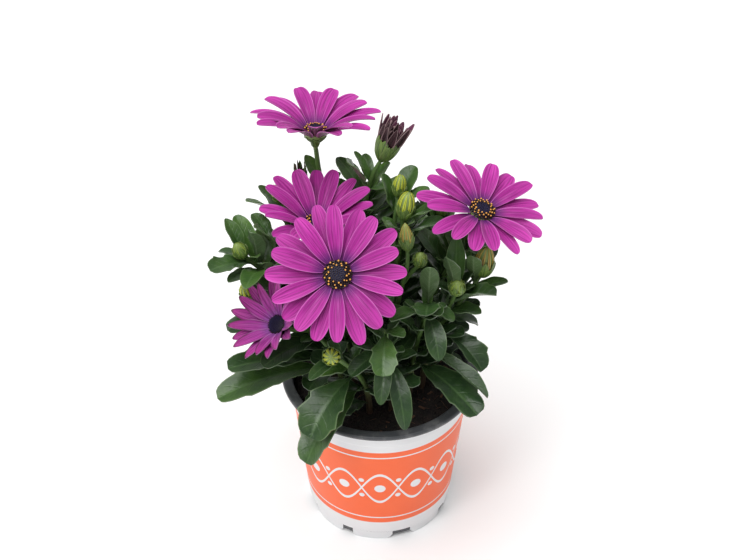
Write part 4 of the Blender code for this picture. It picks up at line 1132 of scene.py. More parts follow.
for number, name in enumerate(BLOOMS):
    place, petals = petals_of(name)
    disc_radius = BLOOMS[name][3] * MM
    rings = calyx_rings(disc_radius)
    hulls[name].append(closed_cup(place, rings))
    build_calyx(stem_heaps[name], place, rings, CALYX_SEED + number, count=8, high=0.0, flare=0.5 * MM)
    heap = Heap()
    plate = bmesh.new()
    radius = disc_radius - PLATE_INSET
    bmesh.ops.create_cone(
        plate, cap_ends=True, segments=PLATE_SIDES, radius1=radius, radius2=radius, depth=2 * PLATE_HALF
    )
    bmesh.ops.transform(plate, matrix=place, verts=plate.verts)
    heap.add(plate, 1)
    chance = random.Random(RAY_SEED + number)
    for petal in petals:
        growth = (1.0, chance.random())
        rows = even_rows(PETAL_LENGTHWAYS - 3, 0.93) + [0.965, 0.988, 1.0]
        heap.add(fine_blade(petal, rows, PETAL_BLADE, PETAL_COLUMNS, growth), 0)
    finish = RAY_LILAC if name == "low_bloom" else RAY_MAGENTA
    rays = mesh_object("ray_florets_" + name, heap.bm, [finish, BRACT_GREEN], sharp=50)
    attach(rays, "root")
    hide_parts("rays_" + name)


# The closing bud at the top: dark rays rolled together above an egg-shaped green cup, brown-purple behind
# with pale edges. Three rings of them grow from one packed middle.
RAY_BUD_AXIS = (0.34, 0.0, 0.94)
RAY_BUD_LENGTH, RAY_BUD_RADIUS = 20 * MM, 6.0 * MM
RAY_BUD_COUNT, RAY_BUD_WIDTH = 10, 4.6 * MM
RAY_BUD_RINGS = ((0.75, 1.0, 0.9, 0), (0.5, 0.92, 0.8, 5), (0.25, 0.84, 0.7, 8))
RAY_BUD_CORE = ((-0.045, 0.7), (0.2, 0.75), (0.4, 0.7), (0.55, 0.5), (0.68, 0.2))
RAY_BUD_CORE_END, RAY_BUD_CORE_SIDES = 0.72, 16
CLOSING_SEED, CLOSING_CUP_SEED, CLOSING_TONE_SEED = 40, 960, 990


class ClosingRay(Petal):
    """A narrow ray that ends in a point."""

    def half_width(self, t):
        return PETAL_ROOT_HALF * (1 - t) + self.width / 2 * 1.825 * t**0.35 * max(1 - t, 0.0) ** 0.55


def ray_bud_petals(place):
    """The closing rays, each ring nearer to the middle, shorter, narrower and more upright."""
    made = []
    for i in range(RAY_BUD_COUNT):
        chance = random.Random(CLOSING_SEED + i)
        turn = 2 * math.pi * i / RAY_BUD_COUNT
        for ring, (out, reach, wide, lean) in enumerate(RAY_BUD_RINGS):
            length = RAY_BUD_LENGTH * reach * chance.uniform(0.74, 1.06)
            rise = math.radians(chance.uniform(73, 81) + lean)
            recurve = math.radians(chance.uniform(-8, 10))
            at = turn + ring * math.pi / RAY_BUD_COUNT
            width = RAY_BUD_WIDTH * wide * chance.uniform(0.8, 1.05)
            roll, cup, grooves = chance.uniform(-0.5, 0.5), -0.4, 0.5
            root = RAY_BUD_RADIUS * out
            made.append(ClosingRay(place, at, root, 0.0, length, width, rise, recurve, roll, cup, grooves))
    return made


def closing_calyx_rings():
    top, radius = -PLATE_HALF - GAP, RAY_BUD_RADIUS
    return (
        (-CALYX_DEPTH - 2 * MM, 1.3 * MM, 1.3 * MM),
        (-7.4 * MM, radius * 0.66, radius * 0.60),
        (-4.2 * MM, radius * 0.98, radius * 0.92),
        (top - 0.5 * MM, radius * 1.06, radius * 0.90),
        (top, radius * 0.94, radius * 0.82),
    )


CLOSING_RAY = petal_material(
    "closing_ray",
    tones=((0.04, 0.015, 0.02), (0.10, 0.028, 0.055), (0.16, 0.055, 0.09)),
    back=((0.016, 0.007, 0.008), (0.055, 0.020, 0.026)),
    rim=(0.44, 0.30, 0.30),
    line_share=0.7,
)
closing_place = facing(
    RAY_BUD_AXIS, Vector(SHOOTS["top_bud"][-1]) * MM + Vector(RAY_BUD_AXIS).normalized() * CALYX_DEPTH
)
hulls["top_bud"].append(closed_cup(closing_place, closing_calyx_rings()))
build_calyx(
    stem_heaps["top_bud"],
    closing_place,
    closing_calyx_rings(),
    CLOSING_CUP_SEED,
    count=7,
    high=8.0 * MM,
    flare=0.2 * MM,
    egg_radius=6.9 * MM,
)
heap = Heap()
core = [
    (height * RAY_BUD_LENGTH, width * RAY_BUD_RADIUS, width * RAY_BUD_RADIUS)
    for height, width in RAY_BUD_CORE
]
core = [(-PLATE_HALF, 0, 0), *core, (RAY_BUD_CORE_END * RAY_BUD_LENGTH, 0, 0)]
heap.add(ringed(closing_place, core, RAY_BUD_CORE_SIDES), 0)
chance = random.Random(CLOSING_TONE_SEED)
for petal in ray_bud_petals(closing_place):
    rows = even_rows(14, 0.93) + [0.97, 1.0]
    heap.add(fine_blade(petal, rows, PETAL_BLADE, 6, (1.0, chance.random())), 0)
closing = mesh_object("closing_rays", heap.bm, [CLOSING_RAY], sharp=50)
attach(closing, "root")
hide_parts("rays_top_bud")


# Discs. The middle of a daisy is a dome of some hundred small florets set in spirals: closed and navy in the
# middle, dark maroon towards the edge, where the open ones carry a grain of orange pollen.
DISC_TOP = 2.6 * MM
DISC_SINK = 0.7 * MM
DISC_SIDES = 28
FLORET_SINK, POLLEN_LIFT = 0.35 * MM, 0.45 * MM
FLORET_SIZE = 0.072
FLORETS = 150
DOME_REACH, FLORET_REACH, FLORET_LEAN = 0.93, 0.96, 0.75
OUTER_FROM, SHUT_OUTER_FROM = 0.56, 0.9
DISC_SEED = 980
GOLDEN_ANGLE = math.radians(137.5)
DOME_SHARES = (1.0, 0.97, 0.9, 0.8, 0.65, 0.45, 0.25)
POLLEN_RINGS = (0.73, 0.88, 0.58)
OPEN_FLORETS = {"front_bloom": 30, "right_bloom": 36, "tall_bloom": 24, "middle_bloom": 24, "low_bloom": 0}


def plain_material(name, low, high, roughness):
    made, paint, shader = material(name, roughness)
    tone = mottled(paint, object_place(paint), 0.5 * MM)
    paint.colour(shader, paint.mix(tone, low, high))
    return made


DISC_FINISHES = [
    plain_material("floret_navy", (0.006, 0.006, 0.028), (0.030, 0.026, 0.085), 0.55),
    plain_material("floret_maroon", (0.008, 0.003, 0.006), (0.030, 0.010, 0.018), 0.5),
    plain_material("pollen", (0.72, 0.30, 0.03), (0.86, 0.46, 0.12), 0.6),
]


def dome(share):
    """The dome's height over the plate at a share of its radius."""
    return PLATE_HALF + GAP + DISC_TOP * (1 - 0.55 * share**3) - 0.5 * MM * (1 - share) ** 2


def floret(place, radius, height=None):
    """A blunt six-sided cone, or a round grain where it has no height."""
    bm = bmesh.new()
    if height is None:
        bmesh.ops.create_icosphere(bm, subdivisions=2, radius=radius)
    else:
        bmesh.ops.create_cone(
            bm, cap_ends=True, segments=6, radius1=radius, radius2=0.45 * radius, depth=height
        )
    bmesh.ops.transform(bm, matrix=place, verts=bm.verts)
    return bm


for number, (name, values) in enumerate(BLOOMS.items()):
    centre, axis, disc_radius = values[0], values[1], values[3] * MM
    place = facing(axis, Vector(centre) * MM)
    chance = random.Random(DISC_SEED + number)
    heap = Heap()
    base = PLATE_HALF + GAP
    profile = [(base, 0, 0), (base, disc_radius - 2 * MM, disc_radius - 2 * MM)]
    for share in DOME_SHARES:
        out = disc_radius * share * DOME_REACH
        profile.append((dome(share) - DISC_SINK, out, out))
    profile.append((dome(0) - DISC_SINK, 0, 0))
    heap.add(ringed(place, profile, DISC_SIDES), 1)
    wanted = OPEN_FLORETS[name]
    for i in range(FLORETS):
        share = math.sqrt((i + 0.5) / FLORETS)
        turn = GOLDEN_ANGLE * i
        out = disc_radius * share * FLORET_REACH
        lean = Matrix.Rotation(FLORET_LEAN * share**2, 4, Vector((-math.sin(turn), math.cos(turn), 0)))
        at = Vector((out * math.cos(turn), out * math.sin(turn), dome(share) - FLORET_SINK))
        stand = place @ Matrix.Translation(at) @ lean
        outer = share > (SHUT_OUTER_FROM if wanted == 0 else OUTER_FROM)
        size = disc_radius * FLORET_SIZE * (1.15 if outer else 1.0)
        tall = (1.3 if outer else 0.9) * MM * chance.uniform(0.8, 1.15)
        heap.add(floret(stand, size, tall), 1 if outer else 0)
    for i in range(wanted):
        share = POLLEN_RINGS[i % 3] + chance.uniform(-0.03, 0.03)
        turn = 2 * math.pi * (i + chance.uniform(-0.25, 0.25)) / wanted
        out = disc_radius * share
        at = Vector((out * math.cos(turn), out * math.sin(turn), dome(share) + POLLEN_LIFT))
        heap.add(floret(place @ Matrix.Translation(at), chance.uniform(0.38, 0.54) * MM), 2)
    disc = mesh_object("disc_florets_" + name, heap.bm, DISC_FINISHES)
    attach(disc, "root")
    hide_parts("disc_" + name)


# Leaves. They are fleshy and spoon-shaped on a narrow stalk, dark green with a pale rib and margin, waved,
# and the large low ones have a few teeth. Each grows from its stem, turned until it is clear of the rest.
PLAIN_ROWS = (0.0, 0.42, 0.74, 0.94, 1.0)
SIMPLE_ROWS = (0.0, 0.44, 0.84, 1.0)
TOOTHED_ROWS = (0.0, 0.4, 0.538, 0.58, 0.765, 0.807, 0.95, 1.0)
STALK = 0.16
STALK_HALF, STALK_WIDTH_SHARE = 0.95 * MM, 0.16
TEETH = (0.45, 0.72)
TOOTH_RUN = 0.16
TOOTH_FALL = 0.05
TOOTH_SIZE = 0.2
TOOTHED_FROM = 13.1
FOLDED_FROM = 11.5
TEST_BLADE = 1.7 * MM
TEST_SLACK = 0.4 * MM
LEAF_BLADE = 0.55 * MM
RIB_DEPTH = 0.4 * MM
RIPPLE_SHARE, MOST_RIPPLE = 0.04, 0.6 * MM
FINE_REACH = 0.975
YOUNG_FROM, YOUNG_RUN = 150 * MM, 90 * MM
GROWN_WIDTH = 14 * MM
BOW, FOLD = 0.14, 0.25
LEAF_TIP_POWER, RIB_WIDTH = 0.40, 0.14
ROOT_SHARE = 0.3
DRAWN_COST = 60
LEAF_SEED = 60
# Leaves placed one by one, in millimetres: shoot, root (moved to the nearest stem), tip, width, what is
# special
LEAVES = [
    ("left", (-75, -22, 199), (-91, -40, 219), 13.2),
    ("left", (-66, -18, 196), (-73, -50, 208), 12.1, {"bow": 0.2}),
    ("left", (-76, -23, 209), (-86, -12, 228), 8.8),
    ("left", (-67, -20, 199), (-71, -26, 229), 11, {"fold": 0.4}),
    ("left", (-66, -18, 196), (-82, 2, 213), 11),
    ("left", (-59, -12, 205), (-68, -24, 230), 11),
    ("left", (-60, -12, 209), (-72, 2, 221), 9.9),
    ("left", (-70, -20, 202), (-92, -4, 199), 7.7),
    ("back_left", (-54, 30, 192), (-77, 14, 221), 9.9),
    ("back_left", (-56, 30, 202), (-65, 25, 224), 8.8),
    ("left", (-66, -18, 196), (-84, -38, 203), 8.8),
    ("low_bloom", (-26, -22, 126), (-95, -52, 128), 20.9, {"bow": 0.16, "young": 0.3}),
    ("low_bloom", (-27, -23, 134), (-88, -48, 148), 17.6, {"bow": 0.1, "young": 0.15}),
    ("low_bloom", (-34, -27, 150), (-66, -58, 158), 14.3, {"bow": 0.2}),
    ("left", (-44, -11, 152), (-88, -34, 165), 13.2, {"bow": 0.18}),
    ("front_low", (-14, -42, 139), (-40, -75, 119), 23.1, {"bow": 0.3, "young": 0.1}),
    ("front_low", (-9, -34, 122), (-43, -77, 100), 20.9, {"bow": 0.34, "young": 0.3}),
    ("front_low", (-24, -56, 162), (-39, -76, 165), 7.7),
    ("front_right", (4, -44, 160), (-17, -63, 156), 12.1, {"bow": 0.2}),
    ("front_low", (-16, -45, 147), (-36, -56, 150), 12.1, {"bow": 0.2, "young": 0.6}),
    ("front_right", (3, -51, 178), (1, -79, 170), 13.9, {"bow": 0.24, "young": 0.45}),
    ("front_right", (4, -43, 158), (0, -69, 139), 9.9, {"bow": 0.26}),
    ("front_right", (5, -40, 150), (14, -74, 124), 12.1, {"bow": 0.28}),
    ("front_right", (3, -52, 180), (13, -62, 184), 8.8),
    ("right_low", (19, -18, 128), (56, -62, 124), 20.9, {"bow": 0.18}),
    ("right_low", (21, -22, 142), (60, -52, 121), 11, {"bow": 0.16, "fold": 0.7}),
    ("right", (34, -8, 146), (60, -32, 131), 16.5, {"bow": 0.24, "fold": 0.5}),
    ("right_low", (26, -28, 174), (33, -52, 157), 12.1, {"bow": 0.3}),
    ("right", (36, -10, 154), (58, -6, 146), 12.1, {"bow": 0.2}),
    ("right", (41, -13, 168), (66, -26, 184), 13.2, {"fold": 0.6}),
    ("right_low", (26, -28, 176), (33, -44, 184), 9.9),
    ("right_low", (27, -29, 179), (42, -33, 171), 8.8, {"young": 0.3}),
    ("right_low", (27, -29, 180), (25, -49, 188), 13.9, {"bow": 0.2}),
    ("right_low", (26, -27, 172), (5, -58, 192), 11),
    ("right", (49, -11, 172), (68, -16, 192), 8.8),
    ("right", (54, -9, 178), (53, -18, 212), 8.8, {"bow": 0.08}),
    ("right", (42, -18, 176), (43, -8, 214), 11, {"bow": 0.06}),
    ("right", (43, -19, 180), (36, -32, 216), 9.9, {"bow": 0.08}),
    ("right_low", (27, -29, 180), (27, -38, 214), 11, {"bow": 0.06}),
    ("bud_pair", (12, -4, 206), (36, -18, 230), 11),
    ("bud_pair", (12, -4, 210), (34, 4, 226), 12.1),
    ("bud_pair", (13, -6, 220), (31, -10, 238), 7.7),
    ("right", (41, -13, 168), (52, 6, 204), 9.9, {"bow": 0.1}),
    ("right", (55, -8, 180), (66, 8, 196), 8.8),
    ("top_bud", (-6, 20, 222), (-19, 15, 247), 13.2, {"bow": 0.1}),
    ("top_bud", (-5, 20, 228), (-15, 26, 247), 5.5),
    ("top_bud", (-7, 20, 218), (6, 27, 239), 8.8),
    ("bud_pair", (9, 3, 222), (20, 16, 244), 12.1),
    ("bud_pair", (9, 3, 218), (1, 10, 243), 9.9, {"bow": 0.06}),
    ("bud_pair", (9, 3, 222), (25, 2, 240), 8.8),
]
# Leaves that close the gaps in the thick of the plant, listed in the same way
THICKET = [
    ("top_bud", (-8, 18, 190), (16, 24, 196), 12),
    ("top_bud", (-7, 18, 202), (12, 30, 216), 12),
    ("top_bud", (-6, 20, 214), (16, 26, 224), 11),
    ("top_bud", (-9, 20, 205), (-28, 34, 222), 12),
    ("top_bud", (-7, 18, 180), (14, 30, 190), 12),
    ("bud_pair", (9, 0, 165), (4, 14, 192), 11),
    ("bud_pair", (10, -1, 182), (26, 10, 196), 12),
    ("bud_pair", (11, -3, 196), (24, 12, 210), 11),
    ("bud_pair", (9, 0, 172), (26, -6, 186), 11),
    ("right_bloom", (33, 6, 162), (24, 16, 192), 12),
    ("right_bloom", (36, 5, 170), (22, 4, 194), 11),
    ("right_bloom", (39, 4, 178), (38, 20, 198), 12),
    ("right_bloom", (42, 3, 186), (28, 10, 208), 11),
    ("right_bloom", (34, 6, 164), (52, 14, 180), 12),
    ("right_bloom", (44, 3, 190), (60, 8, 204), 10),
    ("right", (38, -11, 160), (58, -20, 168), 12, {"young": 0.3}),
    ("right", (46, -12, 170), (64, -8, 176), 11),
    ("back_right", (30, 40, 165), (8, 42, 190), 14),
    ("back_right", (28, 38, 158), (50, 40, 186), 14),
    ("back_right", (34, 44, 180), (22, 48, 208), 13),
    ("back_right", (24, 52, 180), (4, 52, 200), 12),
    ("back", (-8, 50, 175), (14, 50, 196), 14),
    ("back", (-10, 54, 184), (-2, 52, 214), 13),
    ("back_left", (-44, 26, 158), (-58, 18, 186), 12),
    ("back_right", (35, 45, 184), (14, 46, 192), 15),
    ("back_right", (30, 41, 166), (16, 30, 186), 14),
    ("far_right", (50, 22, 152), (46, 26, 178), 14),
    ("far_right", (54, 24, 160), (43, 14, 180), 12),
    ("top_bud", (-7, 18, 196), (16, 14, 208), 12),
    ("bud_pair", (12, -4, 204), (8, 14, 216), 11),
    ("left", (-64, -17, 194), (-66, 8, 208), 13),
    ("left", (-60, -15, 186), (-56, 8, 202), 12),
    ("back_left", (-50, 28, 178), (-70, 14, 196), 13),
    ("left", (-68, -19, 198), (-80, -2, 224), 11, {"young": 0.3}),
    ("left", (-50, -12, 165), (-70, -14, 190), 12, {"young": 0.2}),
    ("left", (-62, -16, 188), (-80, -24, 204), 11, {"young": 0.3}),
    ("left", (-48, -12, 162), (-62, -32, 184), 12),
    ("middle_bloom", (-26, -4, 168), (-48, -2, 190), 12),
    ("low_bloom", (-30, -25, 145), (-50, -14, 166), 12),
    ("left", (-48, -13, 160), (-70, 6, 166), 13),
    ("middle_bloom", (-24, -5, 158), (-54, -16, 158), 13),
    ("low_bloom", (-30, -25, 140), (-60, -30, 150), 12, {"bow": 0.1}),
    ("right_bloom", (33, 6, 160), (22, 24, 184), 12),
    ("far_right", (46, 20, 144), (50, 18, 174), 13),
    ("top_bud", (-8, 18, 196), (28, 20, 208), 12),
    ("bud_pair", (11, -2, 192), (6, 22, 204), 12),
    ("back", (-10, 52, 180), (20, 42, 190), 14),
    ("left", (-66, -11, 164), (-74, -4, 182), 11),
    ("low_bloom", (-36, -26, 153), (-52, -22, 166), 10),
    ("left", (-36, -9, 135), (-56, -6, 146), 13),
    ("left", (-33, -8, 128), (-60, -8, 134), 13),
    ("back_right", (27, 38, 156), (23, 34, 182), 10),
    ("right_bloom", (32, 6, 160), (22, 12, 192), 9),
    ("back_right", (25, 37, 148), (24, 46, 176), 11),
    ("right", (44, -12, 172), (50, 2, 176), 9),
]
# Leaves by a rule, a golden angle apart: the shares of the stem they start and end at, count, length, width
LEAFY = {
    "front_bloom": (0.14, 0.72, 6, 40, 15),
    "tall_bloom": (0.14, 0.76, 7, 42, 15),
    "middle_bloom": (0.14, 0.80, 7, 40, 15),
    "right_bloom": (0.14, 0.82, 7, 40, 15),
    "low_bloom": (0.14, 0.66, 4, 38, 15),
    "top_bud": (0.16, 0.86, 8, 42, 15),
    "bud_pair": (0.16, 0.92, 8, 36, 14),
    "right": (0.16, 0.96, 6, 34, 14),
    "right_low": (0.16, 0.94, 5, 34, 14),
    "front_right": (0.14, 0.80, 4, 34, 14),
    "front_low": (0.14, 0.60, 3, 34, 14),
    "left": (0.14, 0.90, 6, 34, 14),
    "back_left": (0.12, 0.92, 8, 42, 15),
    "back": (0.12, 0.97, 9, 42, 15),
    "back_right": (0.12, 0.97, 9, 42, 15),
    "far_right": (0.12, 0.97, 8, 40, 15),
}
# Young leaves near the tips and in the thick of the plant, by the same rule
INNER = {
    "front_bloom": (0.2, 0.8, 8, 24, 10),
    "tall_bloom": (0.3, 0.86, 12, 26, 10),
    "middle_bloom": (0.3, 0.86, 9, 24, 10),
    "right_bloom": (0.25, 0.88, 16, 26, 10),
    "low_bloom": (0.3, 0.8, 6, 22, 9),
    "top_bud": (0.3, 0.90, 18, 27, 10.5),
    "bud_pair": (0.25, 0.96, 20, 25, 10),
    "right": (0.3, 0.98, 14, 22, 9.5),
    "right_low": (0.3, 0.98, 14, 22, 9.5),
    "front_right": (0.3, 0.95, 10, 21, 9),
    "front_low": (0.3, 0.9, 6, 21, 9),
    "left": (0.3, 0.97, 14, 22, 9.5),
    "back_left": (0.3, 0.97, 14, 24, 10),
    "back": (0.3, 0.98, 12, 26, 10),
    "back_right": (0.3, 0.98, 12, 26, 10),
    "far_right": (0.3, 0.98, 12, 26, 10),
}
TURNS = (0, 12, -12, 24, -24, 38, -38, 54, -54)
TILTS = (0, 10, -10, 20, -20)
SHORTER = (1.0, 0.8, 0.64)
NUDGES = (0, 5, -5, 10, -10, 16, -16, 24, -24)


class Leaf:
    """A blade whose rib is a quadratic curve from its root to its tip, and whose upper side is face."""

    def __init__(self, root, tip, width, face, bow, fold, wave, twist):
        chord = tip - root
        self.root, self.tip, self.width = root, tip, width
        self.face = (face - face.project(chord)).normalized()
        self.control = (root + tip) / 2 + self.face * bow * chord.length
        self.fold, self.wave, self.twist = fold, wave, twist
        self.toothed = width > TOOTHED_FROM * MM
        self.columns = 2 if width > FOLDED_FROM * MM or fold > 0.3 else 1
        self.rows = TOOTHED_ROWS if self.toothed else PLAIN_ROWS
        self.groove = self.ripple = self.ripple_turn = self.young = 0.0
        self.tip_power = LEAF_TIP_POWER

    def half_width(self, t):
        """A narrow stalk that widens to a spoon-shaped blade, with teeth on its outer half."""
        stalk = min(STALK_HALF, STALK_WIDTH_SHARE * self.width)
        if t <= STALK:
            return stalk * (0.7 + 0.3 * t / STALK)
        s = (t - STALK) / (1 - STALK)
        end = self.tip_power
        peak = SHOULDER / (SHOULDER + end)
        spoon = (s / peak) ** SHOULDER * (max(1 - s, 0.0) / (1 - peak)) ** end
        if self.toothed:
            for at in TEETH:
                if at - TOOTH_RUN < s <= at:
                    spoon *= 1 + TOOTH_SIZE * (s - at + TOOTH_RUN) / TOOTH_RUN
                elif at < s < at + TOOTH_FALL:
                    spoon *= 1 + TOOTH_SIZE * (1 - (s - at) / TOOTH_FALL)
        return stalk * (1 - s) + self.width / 2 * spoon

    def point(self, u, t):
        """The middle of the blade at u across, from -1 to 1, and t along, and the blade's normal there."""
        rib = (1 - t) ** 2 * self.root + 2 * t * (1 - t) * self.control + t**2 * self.tip
        along = ((1 - t) * (self.control - self.root) + t * (self.tip - self.control)).normalized()
        side = along.cross(self.face).normalized()
        side = Matrix.Rotation(self.twist * t, 3, along) @ side
        normal = side.cross(along)
        half = self.half_width(t)
        lift = self.fold * abs(u) * half + self.wave * math.sin(9 * t + 2 * u) * abs(u) * half
        lift -= self.groove * math.exp(-((u / RIB_WIDTH) ** 2)) * (1 - t)
        lift += self.ripple * math.sin(self.ripple_turn + 19 * t + 1.4 * u) * u * u * math.sin(math.pi * t)
        return rib + side * u * half * (1 - 0.3 * self.fold) + normal * lift, normal


def nearest_on(lines, place):
    """The point of some routes that is nearest to a place."""
    best = None
    for route in lines:
        for a, b in zip(route, route[1:]):
            step = b - a
            share = max(0.0, min(1.0, (place - a).dot(step) / step.length_squared))
            at = a + share * step
            if best is None or (place - at).length < best[0]:
                best = ((place - at).length, at)
    return best[1]


def face_of(chord):
    """A leaf looks up, and towards its own stem as it stands more upright."""
    outward = Vector((chord.x, chord.y, 0))
    outward = outward.normalized() if outward.length > 1e-6 else Vector((1, 0, 0))
    return Vector((0, 0, 1)) - 0.8 * outward


def swung(root, tip, turn, tilt, scale):
    """A tip turned round the upright through its root, tilted up, and drawn in."""
    chord = tip - root
    side = chord.cross(Vector((0, 0, 1)))
    side = side.normalized() if side.length > 1e-9 else Vector((0, 1, 0))
    chord = Matrix.Rotation(math.radians(tilt), 3, side) @ chord
    chord = Matrix.Rotation(math.radians(turn), 3, "Z") @ chord
    return root + chord * scale


class Bed:
    """What already stands, and whether a new blade keeps clear of it. On its own shoot a blade may touch with
    its first part, where it grows from the stem."""

    def __init__(self):
        self.standing = []

    def add(self, owner, bm, outer=None):
        whole = BVHTree.FromBMesh(bm)
        self.standing.append((owner, whole, BVHTree.FromBMesh(outer) if outer else whole))

    def takes(self, owner, blade):
        thick = blade_mesh(blade, blade.rows, TEST_BLADE, TEST_SLACK)
        outer = blade_mesh(blade, blade.rows, TEST_BLADE, TEST_SLACK, ROOT_SHARE)
        whole_tree, outer_tree = BVHTree.FromBMesh(thick), BVHTree.FromBMesh(outer)
        thick.free()
        outer.free()
        for other, whole, edge in self.standing:
            if outer_tree.overlap(edge) if other == owner else whole_tree.overlap(whole):
                return False
        return True

    def plant(self, owner, blade):
        whole = blade_mesh(blade, blade.rows, BLADE)
        outer = blade_mesh(blade, blade.rows, BLADE, 0.0, ROOT_SHARE)
        self.add(owner, whole, outer)
        whole.free()
        outer.free()


def placed_leaves(bed, table, seed):
    """The leaves of a table, each turned a little until it is clear."""
    for index, (shoot, root, tip, width, *special) in enumerate(table):
        special = dict(*special)
        bow, fold = special.get("bow", BOW), special.get("fold", FOLD)
        chance = random.Random(seed + index)
        root = nearest_on(routes[shoot], Vector(root) * MM)
        tip = Vector(tip) * MM
        wave, twist = chance.uniform(-0.12, 0.12), chance.uniform(-0.25, 0.25)
        tries = [(t, n, s) for s in (1.0, 0.85) for t in NUDGES for n in NUDGES]
        for tilt, turn, scale in sorted(tries, key=lambda k: abs(k[0]) + abs(k[1]) + DRAWN_COST * (1 - k[2])):
            new_tip = swung(root, tip, turn, tilt, scale)
            blade = Leaf(root, new_tip, width * MM, face_of(new_tip - root), bow, fold, wave, twist)
            if bed.takes(shoot, blade):
                bed.plant(shoot, blade)
                blade.young = special.get("young", 0.0)
                yield shoot, blade
                break


def ruled_leaves(bed, rule, seed):
    """Leaves a golden angle apart round their stem, shorter towards its tip, where there is room."""
    for number, (shoot, (start, end, count, length, width)) in enumerate(rule.items()):
        chance = random.Random(seed + number)
        main = routes[shoot][0]
        for i in range(count):
            share = start + (end - start) * (i + 0.5) / count
            root = place_on(main, share)
            turn = GOLDEN_ANGLE * i + number
            young = max(0.0, share - 0.55) / 0.45
            size = (1 - 0.42 * young) * chance.uniform(0.88, 1.1)
            lift = math.radians(14 + 42 * share + chance.uniform(-8, 8))
            reach = Vector((math.cos(turn) * math.cos(lift), math.sin(turn) * math.cos(lift), math.sin(lift)))
            tip = root + reach * length * size * MM
            wave, twist = chance.uniform(-0.12, 0.12), chance.uniform(-0.3, 0.3)
            bow = chance.uniform(0.1, 0.24)
            for scale, tilt, swing in itertools.product(SHORTER, TILTS, TURNS):
                new_tip = swung(root, tip, swing, tilt, scale)
                wide = width * size * (0.5 + 0.5 * scale) * MM
                blade = Leaf(root, new_tip, wide, face_of(new_tip - root), bow, 0.2, wave, twist)
                blade.columns, blade.rows = 1, SIMPLE_ROWS
                if bed.takes(shoot, blade):
                    bed.plant(shoot, blade)
                    yield shoot, blade
                    break


def leaf_material():
    """Dark above with a soft gloss, paler and greyer below, yellow-green while young."""
    made, paint, shader = material("leaf_blade", 0.4)
    across, along, age, under, chance = blade_inputs(paint)
    place = object_place(paint)
    marks = paint.group(BLADE_MARKS, {"Across": across, "Along": along, "Veins": 8.0})
    tone = mottled(paint, place, 9 * MM)
    fine = mottled(paint, place, 1.6 * MM)
    old = paint.mix(paint.rise(tone, 0.3, 0.7), (0.014, 0.040, 0.011), (0.030, 0.072, 0.017))
    young = paint.mix(paint.rise(tone, 0.3, 0.7), (0.060, 0.150, 0.020), (0.115, 0.235, 0.032))
    top = paint.mix(age, old, young)
    top = paint.mix(paint.times(paint.rise(fine, 0.5, 0.75), 0.2), top, (0.06, 0.11, 0.045))
    top = paint.mix(paint.times(chance, 0.3), top, (0.026, 0.056, 0.030))
    top = paint.mix(paint.times(marks["Side veins"], 0.05), top, (0.12, 0.20, 0.08))
    top = paint.mix(paint.times(marks["Rib"], 0.3), top, (0.12, 0.21, 0.08))
    top = paint.mix(paint.times(marks["Margin"], 0.5), top, (0.20, 0.29, 0.13))
    back = paint.mix(age, (0.060, 0.098, 0.048), (0.12, 0.20, 0.062))
    back = paint.mix(paint.times(marks["Rib"], 0.55), back, (0.20, 0.27, 0.15))
    back = paint.mix(paint.times(marks["Side veins"], 0.25), back, (0.17, 0.22, 0.13))
    paint.colour(shader, paint.mix(under, top, back))
    paint.feed(shader["Roughness"], paint.spread(fine, 0.20, 0.46))
    relief = paint.minus(paint.times(tone, 0.6), paint.times(marks["Side veins"], 0.2))
    relief = paint.plus(relief, paint.times(fine, 0.3))
    paint.bump(shader, relief, 0.6, 0.7 * MM)
    return made


def fine_leaf(blade, chance):
    """The leaf as it shows: fine rows, a groove along its rib, and its teeth at their true places. Its end is
    rounder than the coarse one's, so it is drawn in a little."""
    toothed = blade.toothed
    rows = even_rows(22 if toothed else 14, 0.96) + [0.985, 1.0]
    if toothed:
        rows += [STALK + (1 - STALK) * at for at in TEETH]
        rows += [STALK + (1 - STALK) * (at + TOOTH_FALL) for at in TEETH]
    blade.tip = blade.root.lerp(blade.tip, FINE_REACH)
    blade.groove = RIB_DEPTH
    blade.tip_power = chance.uniform(0.28, 0.38) if toothed else chance.uniform(0.45, 0.68)
    blade.ripple = min(RIPPLE_SHARE * blade.width, MOST_RIPPLE)
    blade.ripple_turn = chance.uniform(0, 2 * math.pi)
    age = smooth_step((blade.tip.z - YOUNG_FROM) / YOUNG_RUN) * chance.uniform(0.2, 0.75)
    age += 0.2 * (1 - min(blade.width / GROWN_WIDTH, 1.0)) + blade.young
    growth = (min(age, 1.0), chance.random())
    return fine_blade(blade, sorted(rows), LEAF_BLADE, 10 if toothed else 6, growth)


bed = Bed()
for owner in ("pot", "potting_mix"):
    solid = bmesh.new()
    solid.from_mesh(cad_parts[owner].data)
    bed.add(owner, solid)
    solid.free()
for shoot, parts in hulls.items():
    for bm in parts:
        bed.add(shoot, bm)
        bm.free()
for name in [*BLOOMS, "top_bud"]:
    solid = bmesh.new()
    solid.from_mesh(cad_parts["rays_" + name].data)
    bed.add("rays_" + name, solid)
    solid.free()

LEAF = leaf_material()
leaf_heaps = {name: Heap() for name in SHOOTS}
chance = random.Random(LEAF_SEED)
for leaves in (
    placed_leaves(bed, LEAVES, seed=700),
    ruled_leaves(bed, LEAFY, seed=300),
    placed_leaves(bed, THICKET, seed=800),
    ruled_leaves(bed, INNER, seed=500),
):
    for shoot, blade in leaves:
        leaf_heaps[shoot].add(fine_leaf(blade, chance), 0)

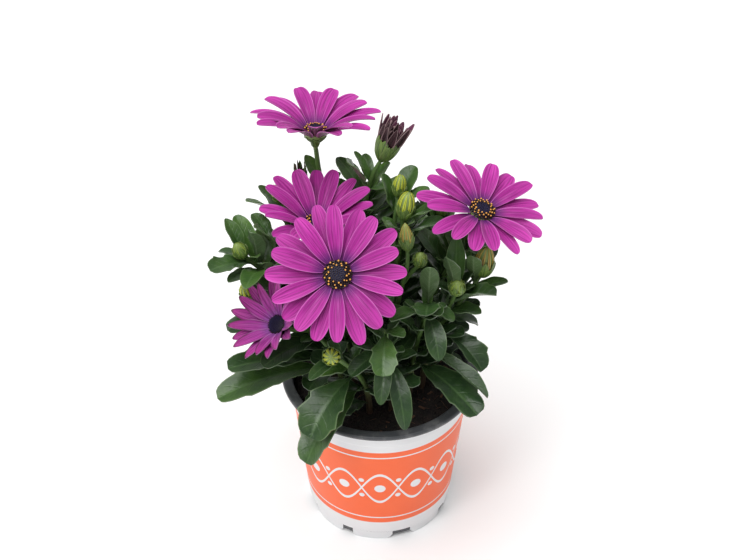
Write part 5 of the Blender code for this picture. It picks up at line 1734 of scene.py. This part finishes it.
for name in SHOOTS:
    stems = mesh_object("stems_" + name, stem_heaps[name].bm, [STEM, BRACT_GREEN], sharp=45)
    leaves = mesh_object("leaves_" + name, leaf_heaps[name].bm, [LEAF], sharp=50)
    for piece in (stems, leaves):
        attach(piece, "root")
        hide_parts("shoot_" + name)
for name, (heap, look, shoot) in bud_heaps.items():
    bud = mesh_object(name, heap.bm, [STEM, BRACT_GREEN, RAY_BACKS[look]], sharp=50)
    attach(bud, "root")
    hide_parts("shoot_" + shoot)


# Studio: a plain white floor, a broad soft light from above, a small one from the upper left, and the camera
# at the photo's viewing angle.
CAMERA_PLACE = (-0.003, -0.6454, 0.6914)
CAMERA_PITCH = math.radians(51.3)
LENS = 68.3
FLOOR_HALF = 4.0

floor_mesh = bmesh.new()
bmesh.ops.create_grid(floor_mesh, x_segments=1, y_segments=1, size=FLOOR_HALF)
floor_paint, _, shader = material("studio_floor", 0.85)
shader["Base Color"].default_value = (0.95, 0.95, 0.95, 1.0)
floor = mesh_object("studio_floor", floor_mesh, [floor_paint])

world = bpy.data.worlds.new("studio")
world.use_nodes = True
world.node_tree.nodes["Background"].inputs["Color"].default_value = (1.0, 1.0, 1.0, 1.0)
world.node_tree.nodes["Background"].inputs["Strength"].default_value = 0.35
bpy.context.scene.world = world


def studio_light(light, place, target):
    """Hangs a light at a place, turned to its target."""
    made = bpy.data.objects.new(light.name, light)
    aim = (Vector(target) - Vector(place)).to_track_quat("-Z", "Y").to_matrix().to_4x4()
    made.matrix_world = Matrix.Translation(place) @ aim
    bpy.context.scene.collection.objects.link(made)


overhead = bpy.data.lights.new("overhead", "SUN")
overhead.energy, overhead.angle = 2.8, math.radians(60)
studio_light(overhead, (-0.28, -0.22, 1.7), (0, 0, 0))
key = bpy.data.lights.new("key", "AREA")
key.shape, key.size, key.energy = "DISK", 0.5, 5
studio_light(key, (-0.8, -0.9, 1.1), (0, 0, 0.15))

lens = bpy.data.cameras.new("camera")
lens.lens, lens.sensor_width = LENS, 36
camera = bpy.data.objects.new("camera", lens)
camera.location = CAMERA_PLACE
camera.rotation_euler = (CAMERA_PITCH, 0, 0)
bpy.context.scene.collection.objects.link(camera)
bpy.context.scene.camera = camera
bpy.context.scene.view_settings.view_transform = "Standard"
